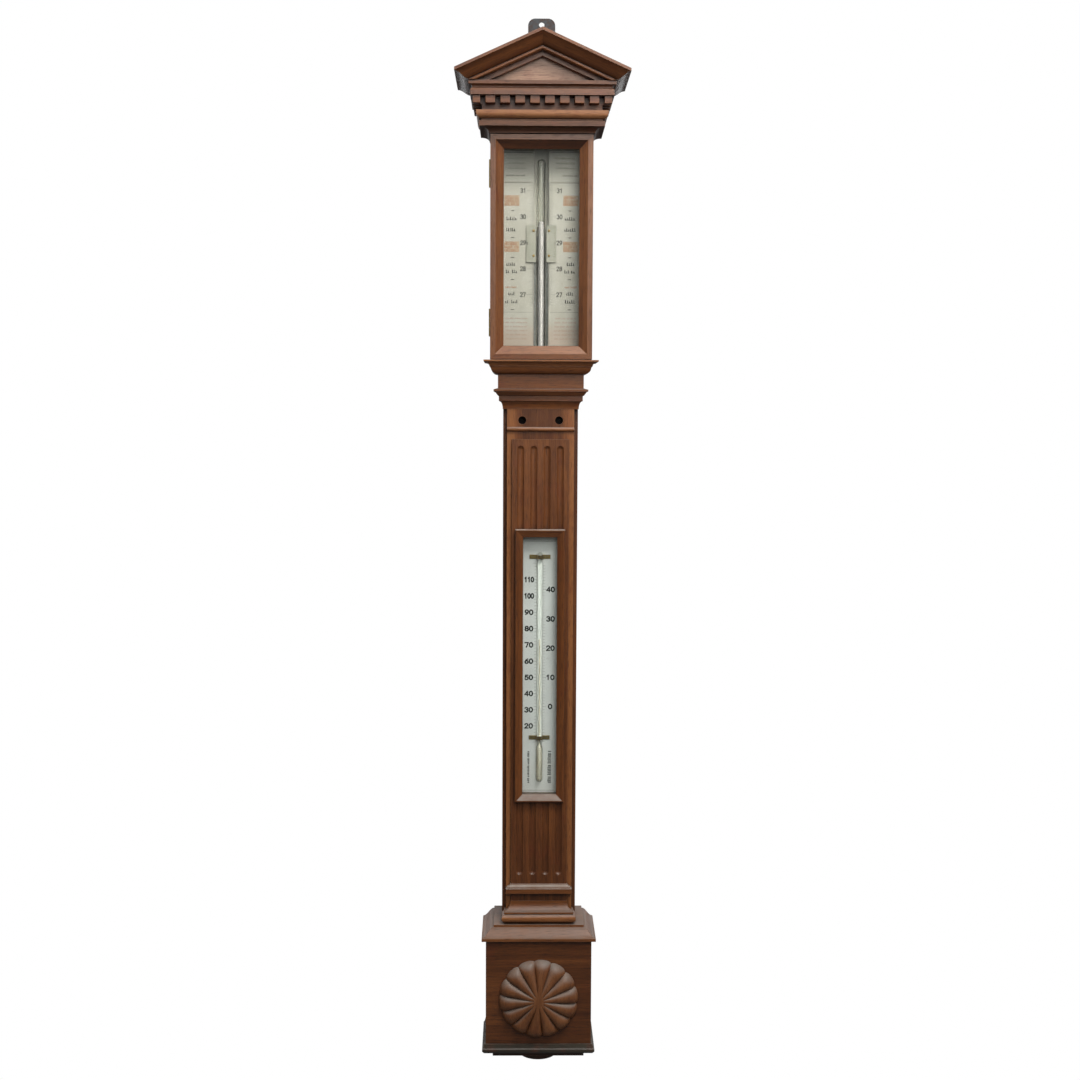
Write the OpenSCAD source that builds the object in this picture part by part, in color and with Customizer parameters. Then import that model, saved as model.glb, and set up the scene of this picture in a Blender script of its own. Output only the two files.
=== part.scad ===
// Stick barometer in an architectural wooden case.
// The case hangs by an iron plate. The origin is the hole of that plate, on the wall plane.
// +X is to the viewer's right, -Y points from the wall to the viewer and +Z is up.

/* [Base] */
// Width of the base box
base_w = 106; // [98:1:116]
// Depth of the base box from the wall
base_d = 68; // [62:1:76]
// Height of the base box
base_h = 116; // [106:1:130]
// Thickness of the base side boards
base_side_t = 9; // [6:0.5:11]
// Thickness of the base front board
base_front_t = 10; // [7:0.5:12]
// Thickness of the bottom board under the base
floor_t = 5; // [4:0.5:7]
// How far the plinth moulding stands out
plinth_proj = 3.6; // [2.5:0.1:5]
// Height of the plinth moulding
plinth_h = 9.6; // [7:0.2:14]
// How far the cap moulding stands out from the base
cap_proj = 4.2; // [3:0.1:6]
// How far the step on the cap stands back from the base
cap_step = 7.5; // [6:0.1:9]
// Height of the cap on the base
cap_h = 13.5; // [11:0.5:18]
// Radius of the carved patera
patera_r = 40; // [34:0.5:44]
// Height of the patera's centre above the foot of the base
patera_z = 56.5; // [50:0.5:60]
// Number of petals of the patera
patera_petals = 14; // [12:1:20]
// Turn of the patera on the base, in degrees
patera_turn = -6.5; // [-12:0.5:12]

/* [Trunk] */
// Width of the trunk carcase
trunk_w = 74.2; // [70:0.2:80]
// Depth of the trunk from the wall to the pilaster face
trunk_d = 48; // [46:0.5:52]
// Height of the trunk
trunk_h = 538; // [520:1:570]
// Thickness of the trunk side boards
trunk_side_t = 8; // [6:0.5:9]
// Width of the pilaster on the trunk
pilaster_w = 66.4; // [62:0.2:69]
// How far the pilaster stands in front of the carcase
pilaster_step = 7; // [6:0.5:9]
// Width of the fluted panel
panel_w = 56.4; // [52:0.2:60]
// Thickness of the fluted panel
panel_t = 2.5; // [2.2:0.1:4]
// Distance between neighbouring flutes
flute_pitch = 13.1; // [12:0.1:14]
// Width of a flute
flute_w = 7; // [4:0.1:9]
// Depth of a flute
flute_depth = 1.9; // [1:0.1:2]

/* [Head] */
// Width of the head
head_w = 100; // [96:1:108]
// Depth of the head from the wall to the door face
head_d = 56; // [52:0.5:62]
// Height of the head between neck and cornice
head_h = 218; // [208:1:230]
// Thickness of the head side boards
head_side_t = 8; // [6:0.5:9]
// Thickness of the backboard
back_t = 8; // [6:0.5:8.5]
// Width of the neck block below the head
neck_w = 84.6; // [80:0.2:90]
// Depth of the neck block from the wall
neck_d = 50; // [48:0.5:53]
// Height of the neck block
neck_h = 27.5; // [25:0.5:34]

/* [Cornice] */
// Height of the entablature above the door
entab_h = 46; // [46:0.5:52]
// Slope of the pediment in degrees
pitch = 24.2; // [20:0.2:28]
// How far the crown moulding stands out from the head
crown_proj = 33.7; // [30:0.1:38]
// Height of the crown moulding at the eaves
crown_h = 8.9; // [7:0.1:12]
// Thickness of the roof boards
roof_t = 5; // [4:0.5:7]
// Thickness of the tympanum board
tympanum_t = 6; // [4:0.5:7]
// Width of a dentil
dentil_w = 9.2; // [7:0.1:10]
// Dentils along the front, with the narrower one at each corner
dentil_count = 10; // [8:1:11]

/* [Door] */
// Thickness of the door frame
door_t = 11.7; // [10:0.1:13]
// Width of the door frame members
stile_w = 13.1; // [11:0.1:15]
// Thickness of the door glass
glass_t = 2.2; // [1.6:0.1:2.6]
// Length of a hinge
hinge_len = 27; // [21:1:36]
// Outer radius of the hinge knuckle
knuckle_r = 1.5; // [1.2:0.1:1.8]
// Radius of the hinge pin
hinge_pin_r = 0.75; // [0.6:0.05:0.9]

/* [Thermometer] */
// Width of the thermometer frame
thermo_w = 49.6; // [46:0.2:52]
// Height of the thermometer frame
thermo_h = 275; // [250:1:300]
// Height of the thermometer frame above the trunk foot
thermo_lift = 124; // [100:1:140]
// Width of the thermometer frame members
thermo_stile = 7.9; // [6:0.1:9]
// Thickness of the thermometer frame
thermo_frame_t = 5; // [3.6:0.1:6]
// Radius of the thermometer tube
thermo_r = 2.2; // [1.8:0.1:2.4]
// Radius of the thermometer bulb
bulb_r = 3.2; // [2.6:0.1:3.2]
// Length of the thermometer bulb
bulb_len = 38; // [30:1:44]

/* [Barometer] */
// Outer radius of the barometer tube
tube_r = 4.75; // [4.2:0.05:4.9]
// Bore radius of the barometer tube
tube_bore_r = 3.1; // [2.5:0.05:3.4]
// Distance of the tube axis from the wall
tube_d = 28; // [27.5:0.1:28.5]
// Height of the mercury's top above the foot of the register plates
mercury_rise = 131.5; // [113:0.5:148]
// Height of the mercury in the cistern above the foot of the base
cistern_level = 74.5; // [70:0.5:80]
// Outer radius of the cistern
cistern_r = 19.3; // [18:0.1:19.4]
// Half width of the gap between the register plates
plate_gap = 7.5; // [7.4:0.1:8]
// Thickness of the register plates
plate_t = 1.5; // [1:0.1:2]
// Distance between the two key holes
key_spacing = 36.4; // [35:0.2:38]
// Radius of a key hole
key_hole_r = 4; // [3.6:0.1:4.4]
// Teeth on a pinion
pinion_teeth = 12; // [10:1:14]
// Gear module of rack and pinion
gear_module = 0.6; // [0.5:0.02:0.64]
// Radius of the pinion arbor
arbor_r = 1.5; // [1.2:0.05:1.7]
// Upward travel of a vernier
vernier_up = 40; // [30:1:44]
// Downward travel of a vernier
vernier_down = 68; // [50:1:72]
// Width of a vernier plate
vernier_w = 9.6; // [8:0.1:11]
// Height of a vernier plate
vernier_h = 36; // [30:1:42]
// Travel of the portable screw
screw_travel = 8; // [5:0.5:9]

/* [Hanger] */
// Width of the hanging plate
hanger_w = 27; // [22:0.5:32]
// Thickness of the hanging plate
hanger_t = 2.5; // [2:0.1:3]
// Radius of the hanging hole
hanger_hole_r = 2.75; // [2:0.05:4]
// Height of the hanging hole above the pediment
hanger_rise = 23.5; // [18:0.5:30]

/* [Hidden] */
$fn = 48;
// Gap between pieces that move past each other
gap = 0.3;
// Radial clearance of a shaft in its hole
fit = 0.05;
// Clearance of an inset piece
inset = 0.15;
// A length past every cut
past = 1;

// Levels above the foot of the base
z_cap = base_h;
z_trunk = z_cap + cap_h;
z_neck = z_trunk + trunk_h;
z_head = z_neck + neck_h;
z_entab = z_head + head_h;
z_roof = z_entab + entab_h;
z_eave = z_roof + crown_h;
slope = tan(pitch);
crown_half = head_w / 2 + crown_proj;
z_apex = z_eave + slope * crown_half;
z_hole = z_apex + hanger_rise;

// Head
case_d = head_d - door_t - gap;
hinge_y = -(case_d + gap / 2);
z_door = z_head + 0.8;
door_h = head_h - 1.6;
crown_back = 8;
eave_half = head_w / 2 + crown_back;
tympanum_d = head_d + crown_back;
mitre_reach = 60;

// Trunk
carcase_d = trunk_d - pilaster_step;
trunk_in = trunk_w / 2 - trunk_side_t;
front_back = carcase_d - 3;
neck_foot_h = 20.3;
z_neck_foot = z_neck - neck_foot_h;
z_panel_top = z_neck - 50;
z_flute = z_trunk + 52;
z_flute_top = z_panel_top - 10;
z_astragal = z_trunk + 30;
panel_d = trunk_d + panel_t;

// Thermometer
z_thermo = z_trunk + thermo_lift;
thermo_in_w = thermo_w - 2 * thermo_stile;
thermo_in_h = thermo_h - 2 * thermo_stile;
pocket_w = thermo_in_w + 1.2;
pocket_h = thermo_in_h + 1.2;
z_pocket = z_thermo + thermo_h / 2 - pocket_h / 2;
scale_t = 1.5;
scale_d = carcase_d + scale_t;
thermo_axis_d = scale_d + bulb_r + 0.4;
z_bulb = z_pocket + 11.5;
thermo_tube_h = pocket_h - 27.4;
clip_h = 4;
clip_t = 0.6;
clip_w = 21;
z_clips = [z_bulb + bulb_len + 7, z_bulb + thermo_tube_h - 5];

// Register plates
z_plate = z_head + 6;
plate_h = head_h - 12;
plate_half = head_w / 2 - head_side_t - 0.5;
plate_d = 31.5;

// Mercury and cistern
z_mercury = z_plate + mercury_rise;
tube_top_gap = 13.5;
z_tube_top = z_plate + plate_h - tube_top_gap;
z_tube_foot = 50;
cistern_wall = 4.5;
z_cistern_foot = -16.5;
z_cistern_cavity = 8;
z_cistern = 34;
z_cistern_top = 92;
lid_t = 8;
bag_top = 42;
pad_t = 3;
z_pad = 24;
pad_r = 10;
screw_r = 3;
knob_r = 8;
knob_h = 6;
z_knob = z_cistern_foot - 2;

// Verniers and their racks
backing_d = plate_d - plate_t;
channel_half = 17;
channel_d = 19;
key_x = key_spacing / 2;
z_key = z_neck - 31.4;
pitch_r = gear_module * pinion_teeth / 2;
tooth_pitch = PI * gear_module;
mesh_slack = 0.1;
rack_x = key_x - pitch_r - mesh_slack;
rack_body = 2.4;
rack_back = 24;
rack_front = 27;
rod_x = tube_r + 0.45;
rod_w = 1.8;
z_jog = z_head + 8 - vernier_up - 3;
jog_h = 4;
z_rack_lo = z_key - vernier_up - 12;
z_rack_hi = z_key + vernier_down + 8;
vernier_d = plate_d + 0.2;
vernier_t = 1.3;
z_vernier = z_mercury - 4.5 - vernier_h;
key_end_d = 43;

// Hanger
hanger_top = 6;
hanger_len = 105;
hanger_corner = 7;
z_hanger = z_hole + hanger_top - hanger_len;
screw_rows = [12, 30, 48];

walnut = "#6b3a22";
dark_walnut = "#4f2a19";
brass = "#b08d4a";
steel = "#7d8084";
ivory = "#d9d6c4";
pane = [0.8, 0.9, 0.92, 0.35];
silver = "#b9bcc0";
boxwood = "#b58a4c";

// Points of an arc about a centre
function arc(c, r, a0, a1, n = 8) =
    [for (i = [0:n]) c + r * [cos(a0 + (a1 - a0) * i / n), sin(a0 + (a1 - a0) * i / n)]];

// S-curve between two points, level at both ends
function cyma(a, b, n = 8) =
    [for (i = [0:n]) [a.x + (b.x - a.x) * i / n, a.y + (b.y - a.y) * (1 - cos(180 * i / n)) / 2]];

// Quarter curve that leaves a along the projection and arrives at b along the height
function quarter_out(a, b, n = 6) =
    [for (i = [0:n]) [a.x + (b.x - a.x) * sin(90 * i / n), b.y + (a.y - b.y) * cos(90 * i / n)]];

// Quarter curve that leaves a along the height and arrives at b along the projection
function quarter_up(a, b, n = 6) =
    [for (i = [0:n]) [b.x + (a.x - b.x) * cos(90 * i / n), a.y + (b.y - a.y) * sin(90 * i / n)]];

// Height of the underside of the roof at a distance from the centre
function roof_under(x) = z_apex - roof_t / cos(pitch) - slope * x;

// Levels are measured from the foot of the base and moved to the hanging hole
module place() {
    translate([0, 0, -z_hole]) children();
}

module both_sides() {
    children();
    mirror([1, 0, 0]) children();
}

// A board in front view, from one distance off the wall to another
module slab(d0, d1) {
    translate([0, -d0, 0]) rotate([90, 0, 0]) linear_extrude(d1 - d0) children();
}

// A box centred on X, between two distances off the wall
module block(w, d0, d1, z0, z1) {
    translate([-w / 2, -d1, z0]) cube([w, d1 - d0, z1 - z0]);
}

// A cylinder along the depth, between two distances off the wall
module peg(x, z, r, d0, d1) {
    translate([x, -d0, z]) rotate([90, 0, 0]) cylinder(r = r, h = d1 - d0);
}

// A turned piece about the barometer tube's axis
module turned(points) {
    translate([0, -tube_d, 0]) rotate_extrude() polygon(points);
}

// Runs of a moulding, points are [projection, height]
module front_run(points, half, d) {
    len = half + mitre_reach;
    rotate([90, 0, 90]) translate([0, 0, -len])
        linear_extrude(2 * len) polygon([for (q = points) [-d - q.x, q.y]]);
}

module side_run(points, half, d, back) {
    slab(back, d + mitre_reach) polygon([for (q = points) [half + q.x, q.y]]);
}

// Mitred prisms in plan that part the front run from the side runs
module front_plan(half, d, inner, z0, z1) {
    a = half - inner;
    b = half + mitre_reach;
    translate([0, 0, z0]) linear_extrude(z1 - z0)
        polygon([[-a, -d + inner], [a, -d + inner], [b, -d - mitre_reach], [-b, -d - mitre_reach]]);
}

module side_plan(half, d, inner, back, z0, z1) {
    a = half - inner;
    b = half + mitre_reach;
    translate([0, 0, z0]) linear_extrude(z1 - z0)
        polygon([[a, -back], [a, -d + inner], [b, -d - mitre_reach], [b, -back]]);
}

// A moulding that runs round the left, the front and the right of a box
module mitred_moulding(points, half, d, inner = 0, back = 0) {
    z0 = min([for (q = points) q.y]) - past;
    z1 = max([for (q = points) q.y]) + past;
    intersection() {
        front_run(points, half, d);
        front_plan(half, d, inner, z0, z1);
    }
    both_sides() intersection() {
        side_run(points, half, d, back);
        side_plan(half, d, inner, back, z0, z1);
    }
}

function lifted(points, z) = [for (q = points) [q.x, q.y + z]];

// A moulding's section drawn for one height and brought to another
function sized(points, drawn_h, h) = [for (q = points) q * h / drawn_h];

// A mitred rectangular frame, points are [distance in from the outer edge, distance off the wall]
module mitred_frame(w, h, z0, points, member) {
    translate([0, 0, z0 + h / 2]) for (turn = [0, 180]) {
        rotate([0, turn, 0]) frame_run(w, h, points, member);
        rotate([0, turn + 90, 0]) frame_run(h, w, points, member);
    }
}

module frame_run(along, across, points, member) {
    deep = max([for (q = points) q.y]) + past;
    intersection() {
        rotate([90, 0, 90]) translate([0, 0, -along / 2])
            linear_extrude(along) polygon([for (q = points) [-q.y, across / 2 - q.x]]);
        slab(0, deep) polygon([
            [-along / 2, across / 2], [along / 2, across / 2],
            [along / 2 - member, across / 2 - member], [-along / 2 + member, across / 2 - member]
        ]);
    }
}

module backboard() {
    right = [
        [base_w / 2 - base_side_t, 0], [base_w / 2 - base_side_t, z_cap], [trunk_w / 2, z_cap],
        [trunk_w / 2, z_neck], [neck_w / 2, z_neck], [neck_w / 2, z_head], [head_w / 2, z_head],
        [head_w / 2, z_roof], [eave_half, z_roof], [eave_half, roof_under(eave_half)]
    ];
    left = [for (i = [len(right) - 1:-1:0]) [-right[i].x, right[i].y]];
    color(dark_walnut) place() difference() {
        slab(0, back_t) polygon(concat(right, [[0, roof_under(0)]], left));
        block(hanger_w + 2 * inset, -past, hanger_t, z_hanger - inset, z_apex);
        for (row = screw_rows) peg(0, z_hanger + row, 1.6 + fit, 0, back_t - past);
    }
}

module head_sides() {
    color(walnut) place() difference() {
        both_sides() translate([head_w / 2 - head_side_t, -case_d, z_head])
            cube([head_side_t, case_d - back_t, head_h]);
        hinge_recess(case_d - 0.9, case_d + past);
    }
}

// The mouldings of the entablature, heights above its foot
bed_h = 19.6;
bed_profile = sized(concat(
    [[0, 0], [1.5, 0]], quarter_up([1.5, 0.3], [9, 5.2]),
    [[10.5, 5.2], [10.5, 9.8], [8.5, 10.2], [8.5, 12]],
    arc([8.5, 17], 5, -90, 0), [[13.5, 19.6], [0, 19.6]]
), 19.6, bed_h);
dentil_foot = 25.5;
dentil_top = 32.7;
dentil_back = 8;
dentil_proj = 16.8;
corona_face = 19;
corona_proj = 20.7;
corona_bead_r = 1.9;
corona_bead_z = 40.3;
corona_profile = concat(
    [[0, dentil_top], [corona_face, dentil_top]],
    arc([corona_face, corona_bead_z], corona_bead_r, -100, -260),
    [[corona_proj, corona_bead_z + corona_bead_r + 0.2], [corona_proj, entab_h], [0, entab_h]]
);

module entablature_block() {
    color(dark_walnut) place() block(head_w, back_t, head_d, z_entab, z_roof);
}

module bed_moulding() {
    color(walnut) place() mitred_moulding(lifted(bed_profile, z_entab), head_w / 2, head_d);
}

module dentil_course() {
    strip = [[0, bed_h], [dentil_back, bed_h], [dentil_back, dentil_top], [0, dentil_top]];
    outer = head_w / 2 + dentil_proj;
    corner_w = 0.8 * dentil_w;
    heel = 2;
    clear = (2 * (outer - corner_w) - (dentil_count - 2) * dentil_w) / (dentil_count - 1);
    step = dentil_w + clear;
    deep = dentil_proj - dentil_back;
    high = dentil_top - dentil_foot;
    front = head_d + dentil_proj;
    color(walnut) place() translate([0, 0, z_entab]) {
        mitred_moulding(strip, head_w / 2, head_d);
        for (i = [0:dentil_count - 3])
            translate([corner_w + clear + i * step - outer, -front, dentil_foot])
                cube([dentil_w, deep, high]);
        both_sides() {
            translate([outer - corner_w, -front, dentil_foot]) cube([corner_w, deep + heel, high]);
            translate([outer - deep, deep - front, dentil_foot]) cube([deep, heel, high]);
            for (y = [deep + heel + clear:step:front - dentil_w])
                translate([outer - deep, y - front, dentil_foot]) cube([deep, dentil_w, high]);
        }
    }
}

module corona() {
    color(walnut) place() mitred_moulding(lifted(corona_profile, z_entab), head_w / 2, head_d);
}

module tympanum() {
    half = eave_half;
    eave = roof_under(half);
    color(walnut) place() slab(tympanum_d - tympanum_t, tympanum_d)
        polygon([[-half, z_roof], [half, z_roof], [half, eave], [0, roof_under(0)], [-half, eave]]);
}

// Crown section, [projection, height above the corona]
crown_face = concat(
    [[corona_proj, 0]], cyma([corona_proj, 0.6], [crown_proj - 0.6, crown_h - 2.9]),
    [[crown_proj, crown_h - 2.9], [crown_proj, crown_h]]
);
crown_ridge = [crown_back, crown_h + slope * (crown_proj - crown_back)];

module eaves_crown() {
    section = concat([[crown_back, 0]], crown_face, [crown_ridge]);
    color(walnut) place() both_sides() intersection() {
        side_run(lifted(section, z_roof), head_w / 2, head_d, 0);
        side_plan(head_w / 2, head_d, 0, 0, z_roof - past, z_apex);
    }
}

// A prism along the right slope of the pediment, points are [distance off the wall, height at the ridge]
module raking_run(points) {
    long = crown_half / cos(pitch) + past;
    intersection() {
        translate([0, 0, z_apex]) rotate([0, pitch, 0]) rotate([90, 0, 90]) translate([0, 0, -long])
            linear_extrude(2 * long) polygon([for (q = points) [-q.x, (q.y - z_apex) * cos(pitch)]]);
        translate([0, 0, z_roof]) linear_extrude(z_apex)
            polygon([
                [0, -tympanum_d], [eave_half, -tympanum_d],
                [eave_half + mitre_reach, -tympanum_d - mitre_reach], [0, -tympanum_d - mitre_reach]
            ]);
    }
}

function at_ridge(points) =
    [for (q = points) [head_d + q.x, z_roof + q.y + slope * (head_w / 2 + q.x)]];

module raking_crown() {
    seat = [crown_back, slope * (corona_proj - crown_back)];
    section = at_ridge(concat([seat], crown_face, [crown_ridge]));
    color(walnut) place() both_sides() raking_run(section);
}

// A band with a bead over it, under the raking crown
rake_bed_h = 7.8;
rake_band_proj = 7;
rake_bead_r = 1.6;
rake_bead_proj = 13.4;

module raking_bed_mouldings() {
    top = at_ridge([[corona_proj, 0]])[0].y;
    band = top - rake_bed_h;
    bead = top - 2 * rake_bead_r - 0.2;
    face = tympanum_d + rake_band_proj;
    color(walnut) place() both_sides() raking_run(concat(
        [[tympanum_d, band], [face, band], [face, bead + 0.3]],
        arc([tympanum_d + rake_bead_proj, (top + bead) / 2 + 0.1], rake_bead_r, -90, 90),
        [[tympanum_d + rake_bead_proj - 1.4, top], [tympanum_d, top]]
    ));
}

module roof_boards() {
    half = eave_half;
    color(dark_walnut) place() both_sides() slab(hanger_t + inset, tympanum_d)
        polygon([[0, z_apex], [half, z_apex - slope * half], [half, roof_under(half)], [0, roof_under(0)]]);
}

module neck_block() {
    color(walnut) place() difference() {
        block(neck_w, back_t, neck_d, z_neck, z_head);
        block(2 * channel_half, back_t - past, neck_d - 10, z_neck - past, z_head + past);
    }
}

neck_cap_h = 13.4;

module neck_moulding_upper() {
    section = sized(concat(
        [[0, 0]], quarter_out([1, 0], [7, 6.3]), [[8, 6.9], [8, 7.6]],
        quarter_up([8.4, 7.6], [13.4, 11.8]), [[13.9, 11.8], [13.9, 13.4], [0, 13.4]]
    ), 13.4, neck_cap_h);
    color(walnut) place() mitred_moulding(lifted(section, z_head - neck_cap_h), neck_w / 2, neck_d);
}

module neck_moulding_lower() {
    lip = (neck_w - trunk_w) / 2;
    section = sized(concat(
        [[0, 0]], quarter_up([0.4, 0], [3.7, 7.6]), [[4.2, 7.9], [4.2, 12.8]],
        cyma([4.4, 12.8], [8.8, 17]), [[9.4, 17.2], [9.4, 19.1]]
    ), 20.3, neck_foot_h);
    top = [[lip, neck_foot_h], [0, neck_foot_h]];
    color(walnut) place()
        mitred_moulding(lifted(concat(section, top), z_neck_foot), trunk_w / 2, trunk_d);
}

module trunk_sides() {
    color(dark_walnut) place() both_sides() translate([trunk_in, -carcase_d, z_trunk])
        cube([trunk_side_t, carcase_d - back_t, trunk_h]);
}

module trunk_front() {
    color(walnut) place() difference() {
        union() {
            block(pilaster_w, carcase_d, trunk_d, z_trunk, z_neck_foot);
            block(trunk_w, carcase_d, trunk_d, z_neck_foot, z_neck);
            block(2 * trunk_in - 2 * inset, front_back, carcase_d, z_trunk, z_neck);
        }
        block(pocket_w, carcase_d, trunk_d + past, z_pocket, z_pocket + pocket_h);
        for (side = [-1, 1]) peg(side * key_x, z_key, key_hole_r, front_back - past, trunk_d + past);
    }
}

// The fluted shaft stands on the cap, its flutes stop short of the mouldings
module fluted_panel() {
    r = (pow(flute_w / 2, 2) + pow(flute_depth, 2)) / (2 * flute_depth);
    axis_d = panel_d + r - flute_depth;
    under = 4;
    runs = [[z_flute, z_thermo + under], [z_thermo + thermo_h - under, z_flute_top]];
    color(walnut) place() difference() {
        block(panel_w, trunk_d, panel_d, z_trunk, z_panel_top);
        block(pocket_w, trunk_d - past, panel_d + past, z_pocket, z_pocket + pocket_h);
        for (run = runs, i = [-1.5:1:1.5]) translate([i * flute_pitch, -axis_d, 0]) {
            translate([0, 0, run[0]]) cylinder(r = r, h = run[1] - run[0]);
            for (end = run) translate([0, 0, end]) sphere(r = r);
        }
    }
}

// A half-round bead along the front of the pilaster
module astragal_upper() {
    r = 2.2;
    z = z_neck_foot - 19.9;
    points = concat([[0, -r]], arc([0.6, 0], r, -90, 90), [[0, r]]);
    color(walnut) place() rotate([90, 0, 90]) translate([0, 0, -pilaster_w / 2])
        linear_extrude(pilaster_w) polygon([for (q = points) [-trunk_d - q.x, z + q.y]]);
}

// A flat band with a hollow over it, mitred round the shaft
astragal_h = 9.6;

module astragal_lower() {
    section = sized(concat(
        [[0, 0], [4.6, 0], [5, 0.4], [5, 5.2], [4.6, 5.6], [3.8, 5.6], [3.8, 6.6]],
        quarter_out([3.6, 6.8], [0.6, 9.6]), [[0, 9.6]]
    ), 9.6, astragal_h);
    color(walnut) place()
        mitred_moulding(lifted(section, z_astragal), panel_w / 2, panel_d, 0, trunk_d);
}

// Torus, fillet and wide hollow round the foot of the shaft
shaft_foot_h = 22;

module pilaster_base() {
    section = sized(concat(
        [[0, 0], [5, 0]], arc([4.7, 5.4], 4.6, -85, 85), [[7, 10.3], [7, 11.8]],
        quarter_out([6.8, 12], [0.4, 22]), [[0, 22]]
    ), 22, shaft_foot_h);
    color(walnut) place() difference() {
        mitred_moulding(lifted(section, z_trunk), panel_w / 2, panel_d, 0, carcase_d);
        block(pilaster_w, 0, trunk_d, z_trunk - past, z_trunk + shaft_foot_h + past);
    }
}

module base_sides() {
    deep = base_d - base_front_t;
    color(dark_walnut) place() both_sides() translate([base_w / 2 - base_side_t, -deep, 0])
        cube([base_side_t, deep, base_h]);
}

module base_front() {
    color(walnut) place() block(base_w, base_d - base_front_t, base_d, 0, base_h);
}

// A sloped moulding round the top of the base, with a flat step that carries the trunk
module base_cap() {
    reach = (base_w - trunk_w) / 2;
    edge_h = 3;
    step_h = 2.2;
    rise = cyma([cap_proj - 0.6, edge_h + 0.2], [-cap_step + 0.6, cap_h - step_h]);
    section = concat(
        [[-reach, 0], [cap_proj, 0], [cap_proj, edge_h]], rise,
        [[-cap_step, cap_h - step_h], [-cap_step, cap_h], [-reach, cap_h]]
    );
    color(walnut) place() {
        mitred_moulding(lifted(section, z_cap), base_w / 2, base_d, reach);
        difference() {
            block(trunk_w, back_t, base_d - reach, z_cap, z_trunk);
            block(2 * channel_half, back_t - past, carcase_d - 3, z_cap - past, z_trunk + past);
        }
    }
}

module plinth_moulding() {
    section = [
        [0, 0], [1.6, 0], [plinth_proj, 2.4], [plinth_proj, 4.6],
        [2.6, 5.4], [1.6, plinth_h - 0.8], [1.6, plinth_h], [0, plinth_h]
    ];
    color(walnut) place() mitred_moulding(section, base_w / 2, base_d);
}

module base_floor() {
    color(dark_walnut) place() difference() {
        block(base_w - 14, 4, base_d - 4, -floor_t, 0);
        translate([0, -tube_d, -floor_t - past]) cylinder(r = cistern_r + gap, h = floor_t + 2 * past);
    }
}

// Patera section: s runs from the centre to the rim, a from the crest of a petal to its groove
patera_rise = 11.5;
patera_fall = 0.3;
patera_shoulder = 0.8;
patera_groove = 0.42;
patera_scallop = 0.045;
petal_cuts = 12;
petal_steps = [0.1, 0.2, 0.32, 0.45, 0.58, 0.7, 0.8, 0.87, 0.92, 0.96, 0.985, 1];

function petal_swell(a) = (1 - sqrt(1 - 0.97 * a * a)) / (1 - sqrt(0.03));
function petal_edge(s) = sqrt(1 - 0.99 * pow(max(0, s - patera_shoulder) / (1 - patera_shoulder), 2));
function petal_cut(s) = patera_groove * min(1, max(0, s - 0.12) / 0.6);
function petal_r(s, a) = patera_r * s * (1 - patera_scallop * s * petal_swell(a));
function petal_z(s, a) = patera_rise * (1 - patera_fall * s * s) * petal_edge(s)
    * (1 - petal_cut(s) * petal_swell(a));

// A low dome of petals that fade out towards a smooth centre
module patera() {
    n = patera_petals * petal_cuts;
    rims = len(petal_steps);
    rows = concat(petal_steps, [1]);
    points = concat([[0, 0, patera_rise]], [for (j = [0:rims], k = [0:n - 1])
        let (a = abs(2 * (k % petal_cuts) / petal_cuts - 1), t = 360 * k / n + patera_turn)
        let (r = petal_r(rows[j], a))
        [r * cos(t), r * sin(t), j < rims ? petal_z(rows[j], a) : 0]]);
    faces = concat(
        [for (k = [0:n - 1]) [0, 1 + (k + 1) % n, 1 + k]],
        [for (j = [0:rims - 1], k = [0:n - 1], half = [0, 1])
            let (p = 1 + j * n + k, q = 1 + j * n + (k + 1) % n)
            half == 0 ? [p, q, q + n] : [p, q + n, p + n]],
        [[for (k = [0:n - 1]) 1 + rims * n + k]]
    );
    color(walnut) place() translate([0, -base_d, patera_z]) rotate([90, 0, 0]) polyhedron(points, faces);
}

// Door section, [in from the edge, off the wall]
door_back = case_d + gap;
rebate_w = 9.5;
rebate_d = door_back + 4.1;
lip_d = rebate_d + 2.1;

module door_frame() {
    section = concat(
        [[0, door_back], [0, head_d], [5.2, head_d], [5.6, head_d - 0.6]],
        [[stile_w - 0.8, lip_d + 0.6], [stile_w, lip_d], [stile_w, rebate_d]],
        [[rebate_w, rebate_d], [rebate_w, door_back]]
    );
    color(walnut) place() difference() {
        mitred_frame(head_w, door_h, z_door, section, stile_w);
        hinge_recess(door_back - past, door_back + 0.9);
    }
}

module door_glass() {
    edge = rebate_w + 0.3;
    front = rebate_d - 0.1;
    z0 = z_door + edge;
    color(pane) place() block(head_w - 2 * edge, front - glass_t, front, z0, z_door + door_h - edge);
}

module door_glazing_bead() {
    front = rebate_d - 0.1 - glass_t;
    w = head_w - 2 * rebate_w - 0.6;
    h = door_h - 2 * rebate_w - 0.6;
    section = [[0, door_back + 0.1], [0, front], [3, front], [2, door_back + 0.1]];
    color(walnut) place() mitred_frame(w, h, z_door + rebate_w + 0.3, section, 3);
}

// Hinges on the left edge: three knuckles on a pin, the middle one on the door
z_hinges = [z_door + 36, z_door + door_h - 36];
leaf_w = 6;
leaf_t = 0.8;
knuckle_len = hinge_len / 3;

module hinge_recess(d0, d1) {
    for (z = z_hinges) {
        translate([-head_w / 2 - past, -d1, z - hinge_len / 2 - inset])
            cube([leaf_w + past + inset, d1 - d0, hinge_len + 2 * inset]);
        translate([-head_w / 2, hinge_y, z - hinge_len / 2 - inset])
            cylinder(r = knuckle_r + gap, h = hinge_len + 2 * inset);
    }
}

module knuckle(z0, len) {
    translate([-head_w / 2, hinge_y, z0]) cylinder(r = knuckle_r, h = len);
}

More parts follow.
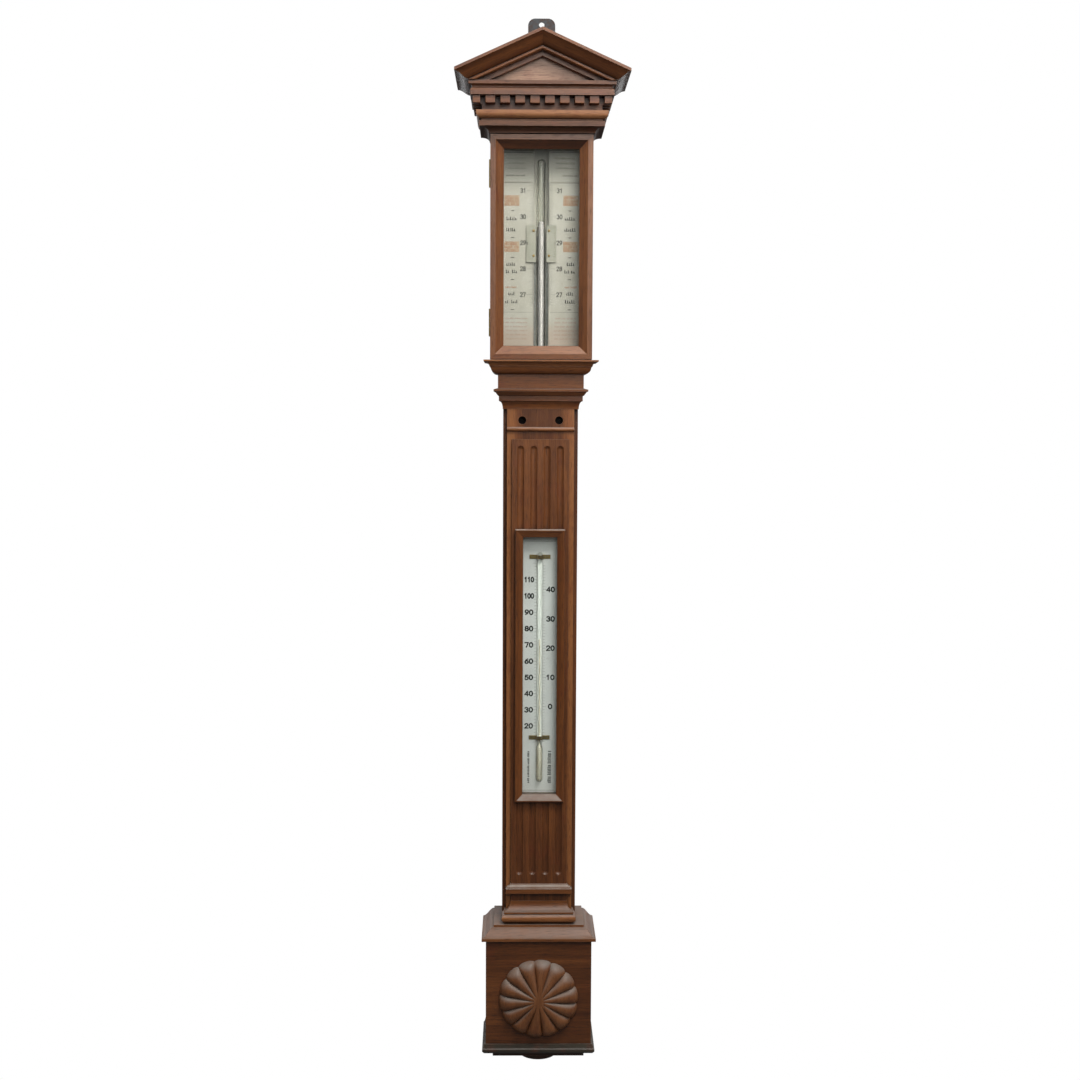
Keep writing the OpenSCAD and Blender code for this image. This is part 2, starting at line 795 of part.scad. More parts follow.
module knuckle_bore(z) {
    translate([-head_w / 2, hinge_y, z - hinge_len]) cylinder(r = hinge_pin_r + fit, h = 2 * hinge_len);
}

module hinge_leaves_case() {
    color(brass) place() for (z = z_hinges) difference() {
        union() {
            translate([-head_w / 2, -case_d, z - hinge_len / 2]) cube([leaf_w, leaf_t, hinge_len]);
            for (end = [-1, 1]) knuckle(z + end * knuckle_len - knuckle_len / 2, knuckle_len);
        }
        knuckle_bore(z);
        translate([-head_w / 2, hinge_y, z - knuckle_len / 2 - gap / 2])
            cylinder(r = knuckle_r + gap, h = knuckle_len + gap);
    }
}

module hinge_leaves_door() {
    color(brass) place() for (z = z_hinges) difference() {
        union() {
            translate([-head_w / 2, -door_back - leaf_t, z - hinge_len / 2])
                cube([leaf_w, leaf_t, hinge_len]);
            knuckle(z - knuckle_len / 2 + gap / 2, knuckle_len - gap);
        }
        knuckle_bore(z);
        for (end = [-1.5, 0.5]) translate([-head_w / 2, hinge_y, z + end * knuckle_len - gap / 2])
            cylinder(r = knuckle_r + gap, h = knuckle_len + gap);
    }
}

module hinge_pins() {
    color(steel) place() for (z = z_hinges)
        translate([-head_w / 2, hinge_y, z - hinge_len / 2]) cylinder(r = hinge_pin_r, h = hinge_len);
}

module plate_backing() {
    color(dark_walnut) place() difference() {
        block(2 * plate_half, back_t, backing_d, z_plate, z_plate + plate_h);
        block(2 * channel_half, channel_d, backing_d + past, z_plate - past, z_plate + plate_h + past);
        block(2 * channel_half, back_t - past, backing_d + past, z_plate - past, z_plate + 60);
    }
}

module register_plate(side) {
    x0 = side > 0 ? plate_gap : -plate_half;
    color(ivory) place() translate([x0, -plate_d, z_plate])
        cube([plate_half - plate_gap, plate_t, plate_h]);
}

module register_plate_left() {
    register_plate(-1);
}

module register_plate_right() {
    register_plate(1);
}

// A vernier plate that slides on its register plate, with a shank in the gap beside the tube
module vernier() {
    shank = 7;
    difference() {
        translate([rod_x, -vernier_d - vernier_t, z_vernier]) cube([vernier_w, vernier_t, vernier_h]);
        translate([rod_x + vernier_w, -vernier_d - vernier_t - past, z_vernier + vernier_h / 2])
            rotate([-90, 0, 0]) cylinder(r = 1.6, h = vernier_t + 2 * past);
    }
    for (z = [z_vernier + 5, z_vernier + vernier_h - 5])
        translate([rod_x, -vernier_d, z - shank / 2]) cube([rod_w, vernier_d - rack_front, shank]);
}

module vernier_right() {
    color(ivory) place() vernier();
}

module vernier_left() {
    color(ivory) place() mirror([1, 0, 0]) vernier();
}

// A rod beside the tube, cranked out to a toothed bar that meets the pinion
module rack() {
    count = floor((z_rack_hi - z_rack_lo) / tooth_pitch);
    tip = 0.384 * gear_module;
    root = 1.24 * gear_module;
    high = gear_module * 0.92;
    deep = gear_module * 1.2;
    phase = z_key - ceil((z_key - z_rack_lo) / tooth_pitch) * tooth_pitch;
    teeth = [for (i = [1:count - 1]) let (z = phase + i * tooth_pitch) each [
        [rack_x - deep, z - root], [rack_x + high, z - tip],
        [rack_x + high, z + tip], [rack_x - deep, z + root]
    ]];
    outline = concat([[rack_x - deep - rack_body, z_rack_lo], [rack_x - deep, z_rack_lo]], teeth,
        [[rack_x - deep, z_rack_hi], [rack_x - deep - rack_body, z_rack_hi]]);
    slab(rack_back, rack_front) polygon(outline);
    translate([rod_x, -rack_front, z_jog])
        cube([rod_w, rack_front - rack_back, z_vernier + vernier_h - 1 - z_jog]);
    translate([rod_x, -rack_front, z_jog]) cube([rack_x - deep - rod_x, rack_front - rack_back, jog_h]);
}

module rack_right() {
    color(brass) place() rack();
}

module rack_left() {
    color(brass) place() mirror([1, 0, 0]) rack();
}

// A pinion on its arbor, with a square end for the key
module pinion() {
    outer = pitch_r + 0.9 * gear_module;
    inner = pitch_r - 1.15 * gear_module;
    step = 360 / pinion_teeth;
    tooth = [
        [inner, -0.3], [pitch_r, -0.2], [outer, -0.09], [outer, 0.09], [pitch_r, 0.2], [inner, 0.3]
    ];
    outline = [
        for (i = [0:pinion_teeth - 1], q = tooth)
            let (a = 180 + (i + 0.5 + q.y) * step) q.x * [cos(a), sin(a)]
    ];
    translate([key_x, 0, z_key]) {
        slab(rack_back - 0.5, rack_front + 0.5) polygon(outline);
        slab(back_t + 4, key_end_d - 5) circle(r = arbor_r);
        slab(key_end_d - 5, key_end_d) square(arbor_r * 1.3, center = true);
    }
}

module pinion_right() {
    color(steel) place() pinion();
}

module pinion_left() {
    color(steel) place() mirror([1, 0, 0]) pinion();
}

// Back bearings of the arbors, on the backboard
module pinion_bearings() {
    color(brass) place() both_sides() difference() {
        translate([key_x - 5, -rack_back + 1.5, z_key - 5]) cube([10, rack_back - 1.5 - back_t, 10]);
        peg(key_x, z_key, arbor_r + fit, back_t + 3.5, rack_back);
    }
}

// Front bearings of the arbors, pressed in the key holes
module key_bushes() {
    color(brass) place() both_sides() difference() {
        peg(key_x, z_key, key_hole_r - fit / 2, front_back - 4, front_back + 2.5);
        peg(key_x, z_key, arbor_r + fit, front_back - 5, front_back + 4);
    }
}

module rack_guides() {
    w = rack_body + 3;
    x0 = rack_x - 1.2 * gear_module - rack_body - 1;
    color(brass) place() both_sides() translate([x0, -rack_back + gap / 2, z_key + 12])
        cube([w, rack_back - gap / 2 - back_t, 30]);
}

module barometer_tube() {
    dome = arc([0, z_tube_top - tube_r], tube_r, 0, 90, 6);
    bore = arc([0, z_tube_top - tube_r], tube_bore_r, 90, 0, 6);
    color(pane) place() turned(concat(
        [[tube_bore_r, z_tube_foot], [tube_r, z_tube_foot]], dome, bore
    ));
}

module mercury_column() {
    r = tube_bore_r - fit;
    color(silver) place() turned(concat(
        [[0, z_tube_foot], [r, z_tube_foot]], arc([0, z_mercury - r], r, 20, 90, 5)
    ));
}

module cistern_lid() {
    r = cistern_r - cistern_wall;
    color(boxwood) place() turned([
        [tube_r + fit, z_cistern_top - 5], [r - inset, z_cistern_top - 5], [r - inset, z_cistern_top],
        [cistern_r, z_cistern_top], [cistern_r, z_cistern_top + 3], [tube_r + 4, z_cistern_top + lid_t],
        [tube_r + fit, z_cistern_top + lid_t]
    ]);
}

module cistern_body() {
    r = cistern_r - cistern_wall;
    color(boxwood) place() turned([
        [r, z_cistern], [cistern_r, z_cistern], [cistern_r, z_cistern_top], [r, z_cistern_top]
    ]);
}

module cistern_mercury() {
    r = cistern_r - cistern_wall - fit;
    color(silver) place() difference() {
        turned([[0, bag_top + fit], [r, bag_top + fit], [r, cistern_level], [0, cistern_level]]);
        translate([0, -tube_d, z_tube_foot]) cylinder(r = tube_r + fit, h = z_cistern_top - z_tube_foot);
    }
}

// A leather pouch that closes the cistern from below
module leather_bag() {
    r = cistern_r - cistern_wall - 0.2;
    low = z_pad + pad_t + gap;
    color("#8a6a45") place() turned(concat(
        [[0, low], [r - 5, low]], arc([r - 4, low + 4], 4, -80, 0, 5), [[r, bag_top], [0, bag_top]]
    ));
}

module cistern_base() {
    r = cistern_r - cistern_wall;
    recess = knob_r + 1;
    recess_top = z_knob + knob_h + screw_travel + gap;
    color(boxwood) place() turned(concat(
        [[screw_r + fit, recess_top], [recess, recess_top], [recess, z_cistern_foot]],
        arc([cistern_r - 1, z_cistern_foot + 1], 1, -90, 0, 4),
        [[cistern_r, z_cistern], [r, z_cistern], [r, z_cistern_cavity]],
        [[screw_r + fit, z_cistern_cavity]]
    ));
}

module pressure_pad() {
    color(boxwood) place() turned([
        [0, z_pad + 1.5], [screw_r + fit, z_pad + 1.5], [screw_r + fit, z_pad], [pad_r - 1, z_pad],
        [pad_r, z_pad + 1], [pad_r, z_pad + pad_t], [0, z_pad + pad_t]
    ]);
}

module portable_screw() {
    color(brass) place() turned(concat(
        [[0, z_knob], [knob_r - 1, z_knob], [knob_r, z_knob + 1], [knob_r, z_knob + knob_h - 1]],
        [[knob_r - 1, z_knob + knob_h], [screw_r, z_knob + knob_h]],
        [[screw_r, z_pad + 1.4], [0, z_pad + 1.4]]
    ));
}

// The frame's face slopes in to the glass, which lies in its rebate
thermo_rebate = 2.4;
thermo_lip_d = panel_d + 1.9;

module thermometer_frame() {
    top = panel_d + thermo_frame_t;
    round_r = 1.6;
    inner = thermo_stile - thermo_rebate;
    section = concat(
        [[0, panel_d]], arc([round_r, top - round_r], round_r, 180, 80, 5),
        [[thermo_stile, thermo_lip_d + 0.4], [thermo_stile, thermo_lip_d]],
        [[inner, thermo_lip_d], [inner, panel_d]]
    );
    color(walnut) place() mitred_frame(thermo_w, thermo_h, z_thermo, section, thermo_stile);
}

module thermometer_glass() {
    edge = thermo_stile - thermo_rebate + 0.2;
    z0 = z_thermo + edge;
    color(pane) place()
        block(thermo_w - 2 * edge, panel_d, thermo_lip_d - 0.1, z0, z_thermo + thermo_h - edge);
}

module thermometer_scale() {
    slack = 0.2;
    color(ivory) place()
        block(pocket_w - 2 * slack, carcase_d, scale_d, z_pocket + slack, z_pocket + pocket_h - slack);
}

// Straight tube with a long bulb at its foot
module thermometer_tube() {
    neck = z_bulb + bulb_len;
    color(pane) place() translate([0, -thermo_axis_d, 0]) rotate_extrude() polygon(concat(
        arc([0, z_bulb + bulb_r], bulb_r, -90, 0, 5), [[bulb_r, neck - 4], [thermo_r, neck]],
        arc([0, z_bulb + thermo_tube_h - thermo_r], thermo_r, 0, 90, 5)
    ));
}

// Two brass straps that hold the thermometer tube on its scale
module thermometer_clips() {
    r0 = thermo_r + fit;
    r1 = r0 + clip_t;
    rise = thermo_axis_d - scale_d;
    color(brass) place() for (z = z_clips) translate([0, 0, z - clip_h / 2])
    linear_extrude(clip_h) difference() {
        union() {
            translate([-clip_w / 2, -scale_d - clip_t]) square([clip_w, clip_t]);
            translate([-r1, -thermo_axis_d]) square([2 * r1, rise]);
            translate([0, -thermo_axis_d]) circle(r = r1);
        }
        translate([0, -thermo_axis_d]) circle(r = r0);
        translate([-r0, -thermo_axis_d]) square([2 * r0, rise]);
    }
}

module hanger_plate() {
    side = hanger_w / 2 - hanger_corner;
    top = z_hole + hanger_top - hanger_corner;
    outline = concat(
        [[-hanger_w / 2, z_hanger], [hanger_w / 2, z_hanger]],
        arc([side, top], hanger_corner, 0, 90),
        arc([-side, top], hanger_corner, 90, 180));
    color("#3c3e40") place() difference() {
        slab(0, hanger_t) polygon(outline);
        peg(0, z_hole, hanger_hole_r, -past, hanger_t + past);
        for (row = screw_rows) peg(0, z_hanger + row, 1.6 + fit, -past, hanger_t + past);
    }
}

module hanger_screws() {
    color(steel) place() for (row = screw_rows)
        peg(0, z_hanger + row, 1.6, 0.2, back_t - 1.5);
}

backboard();
head_sides();
entablature_block();
bed_moulding();
dentil_course();
corona();
tympanum();
raking_bed_mouldings();
raking_crown();
eaves_crown();
roof_boards();
neck_block();
neck_moulding_upper();
neck_moulding_lower();
trunk_sides();
trunk_front();
fluted_panel();
astragal_upper();
astragal_lower();
pilaster_base();
base_sides();
base_front();
base_cap();
plinth_moulding();
base_floor();
patera();
door_frame();
door_glass();
door_glazing_bead();
hinge_leaves_case();
hinge_leaves_door();
hinge_pins();
plate_backing();
register_plate_left();
register_plate_right();
vernier_left();
vernier_right();
rack_left();
rack_right();
pinion_left();
pinion_right();
pinion_bearings();
key_bushes();
rack_guides();
barometer_tube();
mercury_column();
cistern_lid();
cistern_body();
cistern_mercury();
leather_bag();
cistern_base();
pressure_pad();
portable_screw();
thermometer_frame();
thermometer_glass();
thermometer_scale();
thermometer_tube();
thermometer_clips();
hanger_plate();
hanger_screws();
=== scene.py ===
import math
import random

import bmesh
import bpy
from mathutils import Matrix, Vector


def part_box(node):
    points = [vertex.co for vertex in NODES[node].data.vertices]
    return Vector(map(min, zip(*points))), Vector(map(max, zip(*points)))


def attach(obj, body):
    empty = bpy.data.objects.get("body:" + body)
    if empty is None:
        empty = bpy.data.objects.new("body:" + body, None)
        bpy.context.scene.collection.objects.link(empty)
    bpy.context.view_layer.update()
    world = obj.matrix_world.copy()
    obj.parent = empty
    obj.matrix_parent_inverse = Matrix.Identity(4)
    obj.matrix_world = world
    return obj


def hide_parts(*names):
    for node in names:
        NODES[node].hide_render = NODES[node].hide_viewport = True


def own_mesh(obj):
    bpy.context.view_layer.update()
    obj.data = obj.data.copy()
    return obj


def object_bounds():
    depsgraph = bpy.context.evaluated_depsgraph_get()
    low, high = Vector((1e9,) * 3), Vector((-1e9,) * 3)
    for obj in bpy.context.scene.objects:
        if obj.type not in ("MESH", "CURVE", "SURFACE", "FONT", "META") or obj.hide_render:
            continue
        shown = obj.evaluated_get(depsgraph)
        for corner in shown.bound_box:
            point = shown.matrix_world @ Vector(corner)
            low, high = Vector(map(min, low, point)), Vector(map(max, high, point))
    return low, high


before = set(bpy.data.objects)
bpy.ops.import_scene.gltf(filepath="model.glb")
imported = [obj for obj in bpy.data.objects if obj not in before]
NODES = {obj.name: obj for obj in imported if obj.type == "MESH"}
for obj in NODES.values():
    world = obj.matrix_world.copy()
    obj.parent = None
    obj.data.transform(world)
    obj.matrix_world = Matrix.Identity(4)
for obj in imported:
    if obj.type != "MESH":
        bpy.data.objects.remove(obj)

CAD_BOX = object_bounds()
MM = 0.001

# Places are given in millimetres: across, off the wall and above the foot of the base.
# The frame has its origin at the hanging hole, which is this far above the foot.
Z_HOLE = 1029.02


def at(x, off_wall, height):
    """Point of the frame from millimetres across, off the wall and above the foot."""
    return Vector((x * MM, -off_wall * MM, (height - Z_HOLE) * MM))


class Tree:
    """A small helper that builds one material's node tree."""

    def __init__(self, name):
        self.mat = bpy.data.materials.new(name)
        self.mat.use_nodes = True
        self.nt = self.mat.node_tree
        self.nt.nodes.clear()
        self.out = self.nt.nodes.new("ShaderNodeOutputMaterial")

    def add(self, kind, _props=None, **inputs):
        n = self.nt.nodes.new("ShaderNode" + kind)
        for k, v in (_props or {}).items():
            setattr(n, k, v)
        for k, v in inputs.items():
            self.put(n, k.replace("_", " "), v)
        return n

    def put(self, n, key, v):
        sock = n.inputs[int(key)] if key.strip().isdigit() else n.inputs[key]
        if isinstance(v, bpy.types.NodeSocket):
            self.nt.links.new(v, sock)
        elif isinstance(v, bpy.types.Node):
            self.nt.links.new(v.outputs[0], sock)
        elif hasattr(v, "__len__") and len(v) == 3 and sock.type == "RGBA":
            sock.default_value = (*v, 1.0)
        else:
            sock.default_value = v

    def math(self, op, a, b=None):
        n = self.add("Math", {"operation": op})
        for i, v in enumerate((a, b)):
            if v is not None:
                self.put(n, str(i), v)
        return n.outputs[0]

    def vec(self, op, a, b=None):
        n = self.add("VectorMath", {"operation": op})
        for i, v in enumerate((a, b)):
            if v is not None:
                self.put(n, str(i), v)
        return n.outputs["Value"] if op == "DOT_PRODUCT" else n.outputs[0]

    def coords(self):
        return self.add("TexCoord").outputs["Object"]

    def split(self, v):
        n = self.add("SeparateXYZ")
        self.put(n, "0", v)
        return n.outputs

    def join(self, x, y, z):
        n = self.add("CombineXYZ")
        for i, v in enumerate((x, y, z)):
            self.put(n, str(i), v)
        return n.outputs[0]

    def noise(self, v, scale, detail=4.0, rough=0.55, warp=0.0):
        n = self.add("TexNoise", Scale=scale, Detail=detail, Roughness=rough, Distortion=warp)
        self.put(n, "Vector", v)
        return n.outputs[0]

    def span(self, v, a, b, lo=0.0, hi=1.0, smooth=True):
        curve = "SMOOTHSTEP" if smooth else "LINEAR"
        n = self.add("MapRange", {"interpolation_type": curve, "clamp": True})
        for i, x in enumerate((v, a, b, lo, hi)):
            self.put(n, str(i), x)
        return n.outputs[0]

    def ramp(self, v, stops):
        n = self.add("ValToRGB")
        self.put(n, "0", v)
        els = n.color_ramp.elements
        while len(els) < len(stops):
            els.new(0.5)
        for e, (p, c) in zip(els, stops):
            e.position = p
            e.color = (*c, 1.0)
        return n.outputs[0]

    def mix(self, f, a, b):
        n = self.add("Mix", {"data_type": "RGBA", "clamp_factor": True})
        self.put(n, "0", f)
        self.put(n, "6", a)
        self.put(n, "7", b)
        return n.outputs[2]

    def bump(self, height, strength, distance, normal=None):
        n = self.add("Bump", Strength=strength, Distance=distance)
        self.put(n, "Height", height)
        if normal is not None:
            self.put(n, "Normal", normal)
        return n.outputs[0]

    def finish(self, shader):
        self.nt.links.new(shader.outputs[0], self.out.inputs[0])
        return self.mat


# Wood

# Slope of the pediment: rise over half its width, in millimetres.
PITCH = math.atan2(37.62, 83.7)
# Shifts that give the right-hand rake and the rails of a frame their own grain.
RAKE_SHIFT, RAIL_SHIFT = 0.37, 0.21
# How far a face has to turn to the side before the grain of a moulding turns with it.
SIDE_MARGIN = 0.02

# Cells of the figure per metre along, across and through the grain.
WAVE_CELLS = (2.2, 9.0, 9.0)
STREAK_CELLS = (4.0, 150.0, 150.0)
FIBRE_CELLS = (38.0, 1150.0, 1150.0)
PORE_CELLS = (95.0, 2300.0, 2300.0)
PATCH_CELLS = (7.0, 16.0, 16.0)
BLOT_SCALE, DENT_SCALE = 55.0, 130.0
# Metres over which an edge counts as rubbed and a nook as sheltered.
EDGE_REACH, NOOK_REACH = 0.0013, 0.007

RED_BLOT = (0.15, 0.030, 0.012)
OPEN_PORE = (0.014, 0.005, 0.003)
RUBBED_EDGE = (0.30, 0.155, 0.085)
# Painted shade of the nooks, which also stands for grime.
NOOK_SHADE_AND_GRIME = (0.013, 0.0062, 0.0040)
# Pale film of the faces that look up: dust and painted light from above.
LEDGE_DUST_AND_LIGHT = (0.170, 0.142, 0.120)

# Four tones of each wood, from the dark to the light of its figure.
WOOD_TONES = ((0.036, 0.0100, 0.0030), (0.118, 0.036, 0.0088),
              (0.205, 0.067, 0.0165), (0.315, 0.118, 0.036))
DOOR_TONES = ((0.036, 0.0112, 0.0044), (0.118, 0.040, 0.0125),
              (0.205, 0.074, 0.0235), (0.315, 0.130, 0.050))
# Painted light: paler tones that stand for the light falling on the tympanum under the pediment.
TYMPANUM_LIGHT_TONES = ((0.15, 0.075, 0.042), (0.27, 0.145, 0.088), (0.38, 0.215, 0.135), (0.47, 0.285, 0.185))


def grain_vector(t, grain, node):
    """Coordinates whose first component runs along the grain of the board."""
    p = t.coords()
    x, y, z = t.split(p)[:3]
    if grain == "z":
        return t.join(z, x, y)
    if grain == "x":
        return t.join(x, y, z)
    if grain == "y":
        return t.join(y, x, z)
    if grain == "run":
        n = t.split(t.add("NewGeometry").outputs["True Normal"])
        ahead = t.math("ADD", t.math("ABSOLUTE", n[1]), SIDE_MARGIN)
        side = t.math("GREATER_THAN", t.math("ABSOLUTE", n[0]), ahead)
        run = t.add("Mix", {"data_type": "VECTOR"})
        t.put(run, "0", side)
        t.put(run, "4", t.join(x, y, z))
        t.put(run, "5", t.join(y, x, z))
        return run.outputs[1]
    if grain == "rake":
        ax = t.math("ABSOLUTE", x)
        cos, sin = math.cos(PITCH), math.sin(PITCH)
        along = t.math("SUBTRACT", t.math("MULTIPLY", ax, cos), t.math("MULTIPLY", z, sin))
        across = t.math("ADD", t.math("MULTIPLY", ax, sin), t.math("MULTIPLY", z, cos))
        side = t.math("ADD", along, t.math("MULTIPLY", t.math("SIGN", x), RAKE_SHIFT))
        return t.join(side, y, across)
    # A frame: the grain runs along its rails and stiles and turns at the mitres.
    low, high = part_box(node)
    half_x, half_z = (high.x - low.x) / 2, (high.z - low.z) / 2
    mid_x, mid_z = (high.x + low.x) / 2, (high.z + low.z) / 2
    dx = t.math("SUBTRACT", half_x, t.math("ABSOLUTE", t.math("SUBTRACT", x, mid_x)))
    dz = t.math("SUBTRACT", half_z, t.math("ABSOLUTE", t.math("SUBTRACT", z, mid_z)))
    stile = t.math("LESS_THAN", dx, dz)
    run = t.add("Mix", {"data_type": "VECTOR"})
    t.put(run, "0", stile)
    t.put(run, "4", t.join(x, y, t.math("ADD", z, RAIL_SHIFT)))
    t.put(run, "5", t.join(z, x, y))
    return run.outputs[1]


def wood(name, grain, seed, node=None, tone=0.0, polish=0.30, tones=WOOD_TONES, dust_and_light=0.55, worn=0.5,
         shade_and_soot=0.85, dust_light_tone=1.0, dust_light_from=(0.30, 0.95)):
    """Old polished wood: figure, red blotches, pores, rubbed edges, painted shade in the nooks that also
    stands for grime, and dust with painted light on faces that look up, in that order.

    polish is the least roughness; the last two arguments set the brightness of the dust and painted light,
    and the upward lean at which they start and are full.
    """
    t = Tree(name)
    rng = random.Random(seed)
    offset = (rng.uniform(-3, 3), rng.uniform(-3, 3), rng.uniform(-3, 3))
    v = t.vec("ADD", grain_vector(t, grain, node), offset)
    wave = t.noise(t.vec("MULTIPLY", v, WAVE_CELLS), 1.6, 2.0)
    bend = t.math("MULTIPLY", t.math("SUBTRACT", wave, 0.5), 0.012)
    w = t.vec("ADD", v, t.join(0.0, bend, bend))
    streak = t.noise(t.vec("MULTIPLY", w, STREAK_CELLS), 1.0, 5.0, 0.6, 0.35)
    fibre = t.noise(t.vec("MULTIPLY", w, FIBRE_CELLS), 1.0, 3.0, 0.6)
    pore = t.noise(t.vec("MULTIPLY", w, PORE_CELLS), 1.0, 2.0, 0.5)
    patch = t.noise(t.vec("MULTIPLY", v, PATCH_CELLS), 1.0, 3.0, 0.5)
    blot = t.noise(v, BLOT_SCALE, 4.0, 0.6)
    figure = t.math("ADD", t.math("MULTIPLY", streak, 0.62), t.math("MULTIPLY", fibre, 0.38))
    figure = t.math("ADD", figure, t.math("MULTIPLY", t.math("SUBTRACT", patch, 0.5), 0.42))
    figure = t.math("MULTIPLY", t.math("SUBTRACT", figure, 0.5), 0.72)
    figure = t.math("ADD", t.math("ADD", figure, 0.5), tone(t) if callable(tone) else tone)
    body = t.ramp(figure, ((0.24, tones[0]), (0.46, tones[1]), (0.60, tones[2]), (0.84, tones[3])))
    red = t.mix(t.span(blot, 0.5, 0.72, 0.0, 0.32), body, RED_BLOT)
    holes = t.span(pore, 0.56, 0.66)
    pored = t.mix(t.math("MULTIPLY", holes, 0.55), red, OPEN_PORE)
    # Old polish is thinner on edges; the quirks of the mouldings get painted shade, which also stands for
    # grime.
    geo = t.add("NewGeometry")
    round_n = t.add("Bevel", {"samples": 4}, Radius=EDGE_REACH)
    turn = t.math("SUBTRACT", 1.0, t.vec("DOT_PRODUCT", round_n.outputs[0], geo.outputs["True Normal"]))
    nook = t.add("AmbientOcclusion", {"samples": 6, "only_local": False}, Distance=NOOK_REACH)
    open_sky = nook.outputs["AO"]
    edge = t.math("MULTIPLY", t.span(turn, 0.015, 0.16), t.span(open_sky, 0.62, 0.9))
    edge = t.math("MULTIPLY", edge, t.span(blot, 0.36, 0.62, 0.25, 1.0))
    rubbed = t.mix(t.math("MULTIPLY", edge, worn), pored, RUBBED_EDGE)
    # Painted shade: darker where the AO finds little open sky, in the quirks and nooks; it also stands for
    # grime.
    nook_shade_and_grime = t.math("MULTIPLY", t.span(open_sky, 0.78, 0.20), shade_and_soot)
    nook_shaded = t.mix(nook_shade_and_grime, rubbed, NOOK_SHADE_AND_GRIME)
    # Faces that look up get a pale film that is dust and also painted light from above; the film mask
    # below is both.
    up = t.split(geo.outputs["Normal"])[2]
    film = t.math("MULTIPLY", t.span(up, *dust_light_from), t.span(blot, 0.30, 0.66, 0.55, 1.0))
    film = t.math("MULTIPLY", film, t.span(open_sky, 0.15, 0.55, 0.35, 1.0))
    dust_and_light_colour = tuple(c * dust_light_tone for c in LEDGE_DUST_AND_LIGHT)
    colour = t.mix(t.math("MULTIPLY", film, dust_and_light), nook_shaded, dust_and_light_colour)
    gloss = t.math("ADD", t.math("MULTIPLY", patch, 0.16), polish)
    gloss = t.math("ADD", gloss, t.math("MULTIPLY", film, 0.22))
    gloss = t.math("ADD", gloss, t.math("MULTIPLY", holes, 0.10))
    relief = t.math("SUBTRACT", t.math("MULTIPLY", fibre, 0.5), t.math("MULTIPLY", holes, 0.8))
    dents = t.noise(v, DENT_SCALE, 2.0, 0.5)
    n1 = t.bump(dents, 0.10, 0.0009)
    n2 = t.bump(relief, 0.22, 0.00025, n1)
    b = t.add("BsdfPrincipled", IOR=1.5, Coat_Weight=0.06, Coat_Roughness=0.16)
    t.put(b, "Base Color", colour)
    t.put(b, "Roughness", gloss)
    t.put(b, "Normal", n2)
    return t.finish(b)


def turned_wood(name, tones, seed):
    """Pale close-grained wood of the cistern."""
    return wood(name, "z", seed, tones=tones, polish=0.42, dust_and_light=0.1, worn=0.2)


# Metals, glass and the rest


def metal(name, colour, dark, rough, seed, scale=400.0, spots=0.5):
    """Metal with tarnish in spots and in its nooks."""
    t = Tree(name)
    v = t.vec("ADD", t.coords(), (seed * 0.37, seed * 0.11, seed * 0.23))
    tarnish = t.noise(v, scale, 5.0, 0.62)
    fine = t.noise(v, scale * 6.0, 3.0, 0.6)
    cover = t.math("MULTIPLY", t.span(tarnish, 0.40, 0.70), spots)
    nook = t.add("AmbientOcclusion", {"samples": 4}, Distance=0.0025)
    cover = t.math("MAXIMUM", cover, t.span(nook.outputs["AO"], 0.75, 0.25))
    b = t.add("BsdfPrincipled", Metallic=1.0)
    t.put(b, "Base Color", t.mix(cover, colour, dark))
    t.put(b, "Roughness", t.math("ADD", t.math("MULTIPLY", tarnish, 0.30), rough))
    t.put(b, "Normal", t.bump(fine, 0.12, 0.0002))
    return t.finish(b)


PANE_SHINE, PANE_HAZE = (0.96, 1.0, 0.98), (0.52, 0.55, 0.50)
TUBE_SHADOW, TUBE_IOR = (0.93, 0.95, 0.93), 1.33


def pane(name, tint, haze):
    """Flat glass: clear straight through, mirror-like at a slant, with a little old haze."""
    t = Tree(name)
    v = t.coords()
    smear = t.noise(t.vec("MULTIPLY", v, (40.0, 40.0, 16.0)), 1.0, 4.0, 0.6)
    facing = t.add("LayerWeight", Blend=0.10)
    clear = t.add("BsdfTransparent", Color=tint)
    ripple = t.bump(t.noise(v, 24.0, 1.0), 0.05, 0.002)
    shine = t.add("BsdfGlossy", Roughness=0.03, Color=PANE_SHINE, Normal=ripple)
    film = t.add("BsdfDiffuse", Color=PANE_HAZE)
    veil = t.add("MixShader")
    t.put(veil, "0", t.span(smear, 0.42, 0.78, haze * 0.35, haze))
    t.put(veil, "1", clear)
    t.put(veil, "2", film)
    both = t.add("MixShader")
    # Only the face that the light enters by mirrors it.
    entry = t.math("SUBTRACT", 1.0, t.add("NewGeometry").outputs["Backfacing"])
    t.put(both, "0", t.math("MULTIPLY", facing.outputs["Fresnel"], entry))
    t.put(both, "1", veil)
    t.put(both, "2", shine)
    return t.finish(both)


def tube_glass(name, tint):
    """Thick drawn glass that bends what is behind it and lets lamps through."""
    t = Tree(name)
    draw = t.noise(t.vec("MULTIPLY", t.coords(), (300.0, 300.0, 6.0)), 1.0, 2.0)
    g = t.add("BsdfGlass", IOR=TUBE_IOR, Color=tint)
    t.put(g, "Roughness", t.span(draw, 0.3, 0.7, 0.03, 0.09))
    t.put(g, "Normal", t.bump(draw, 0.012, 0.0005))
    through = t.add("BsdfTransparent", Color=TUBE_SHADOW)
    path = t.add("LightPath")
    both = t.add("MixShader")
    t.put(both, "0", path.outputs["Is Shadow Ray"])
    t.put(both, "1", g)
    t.put(both, "2", through)
    return t.finish(both)


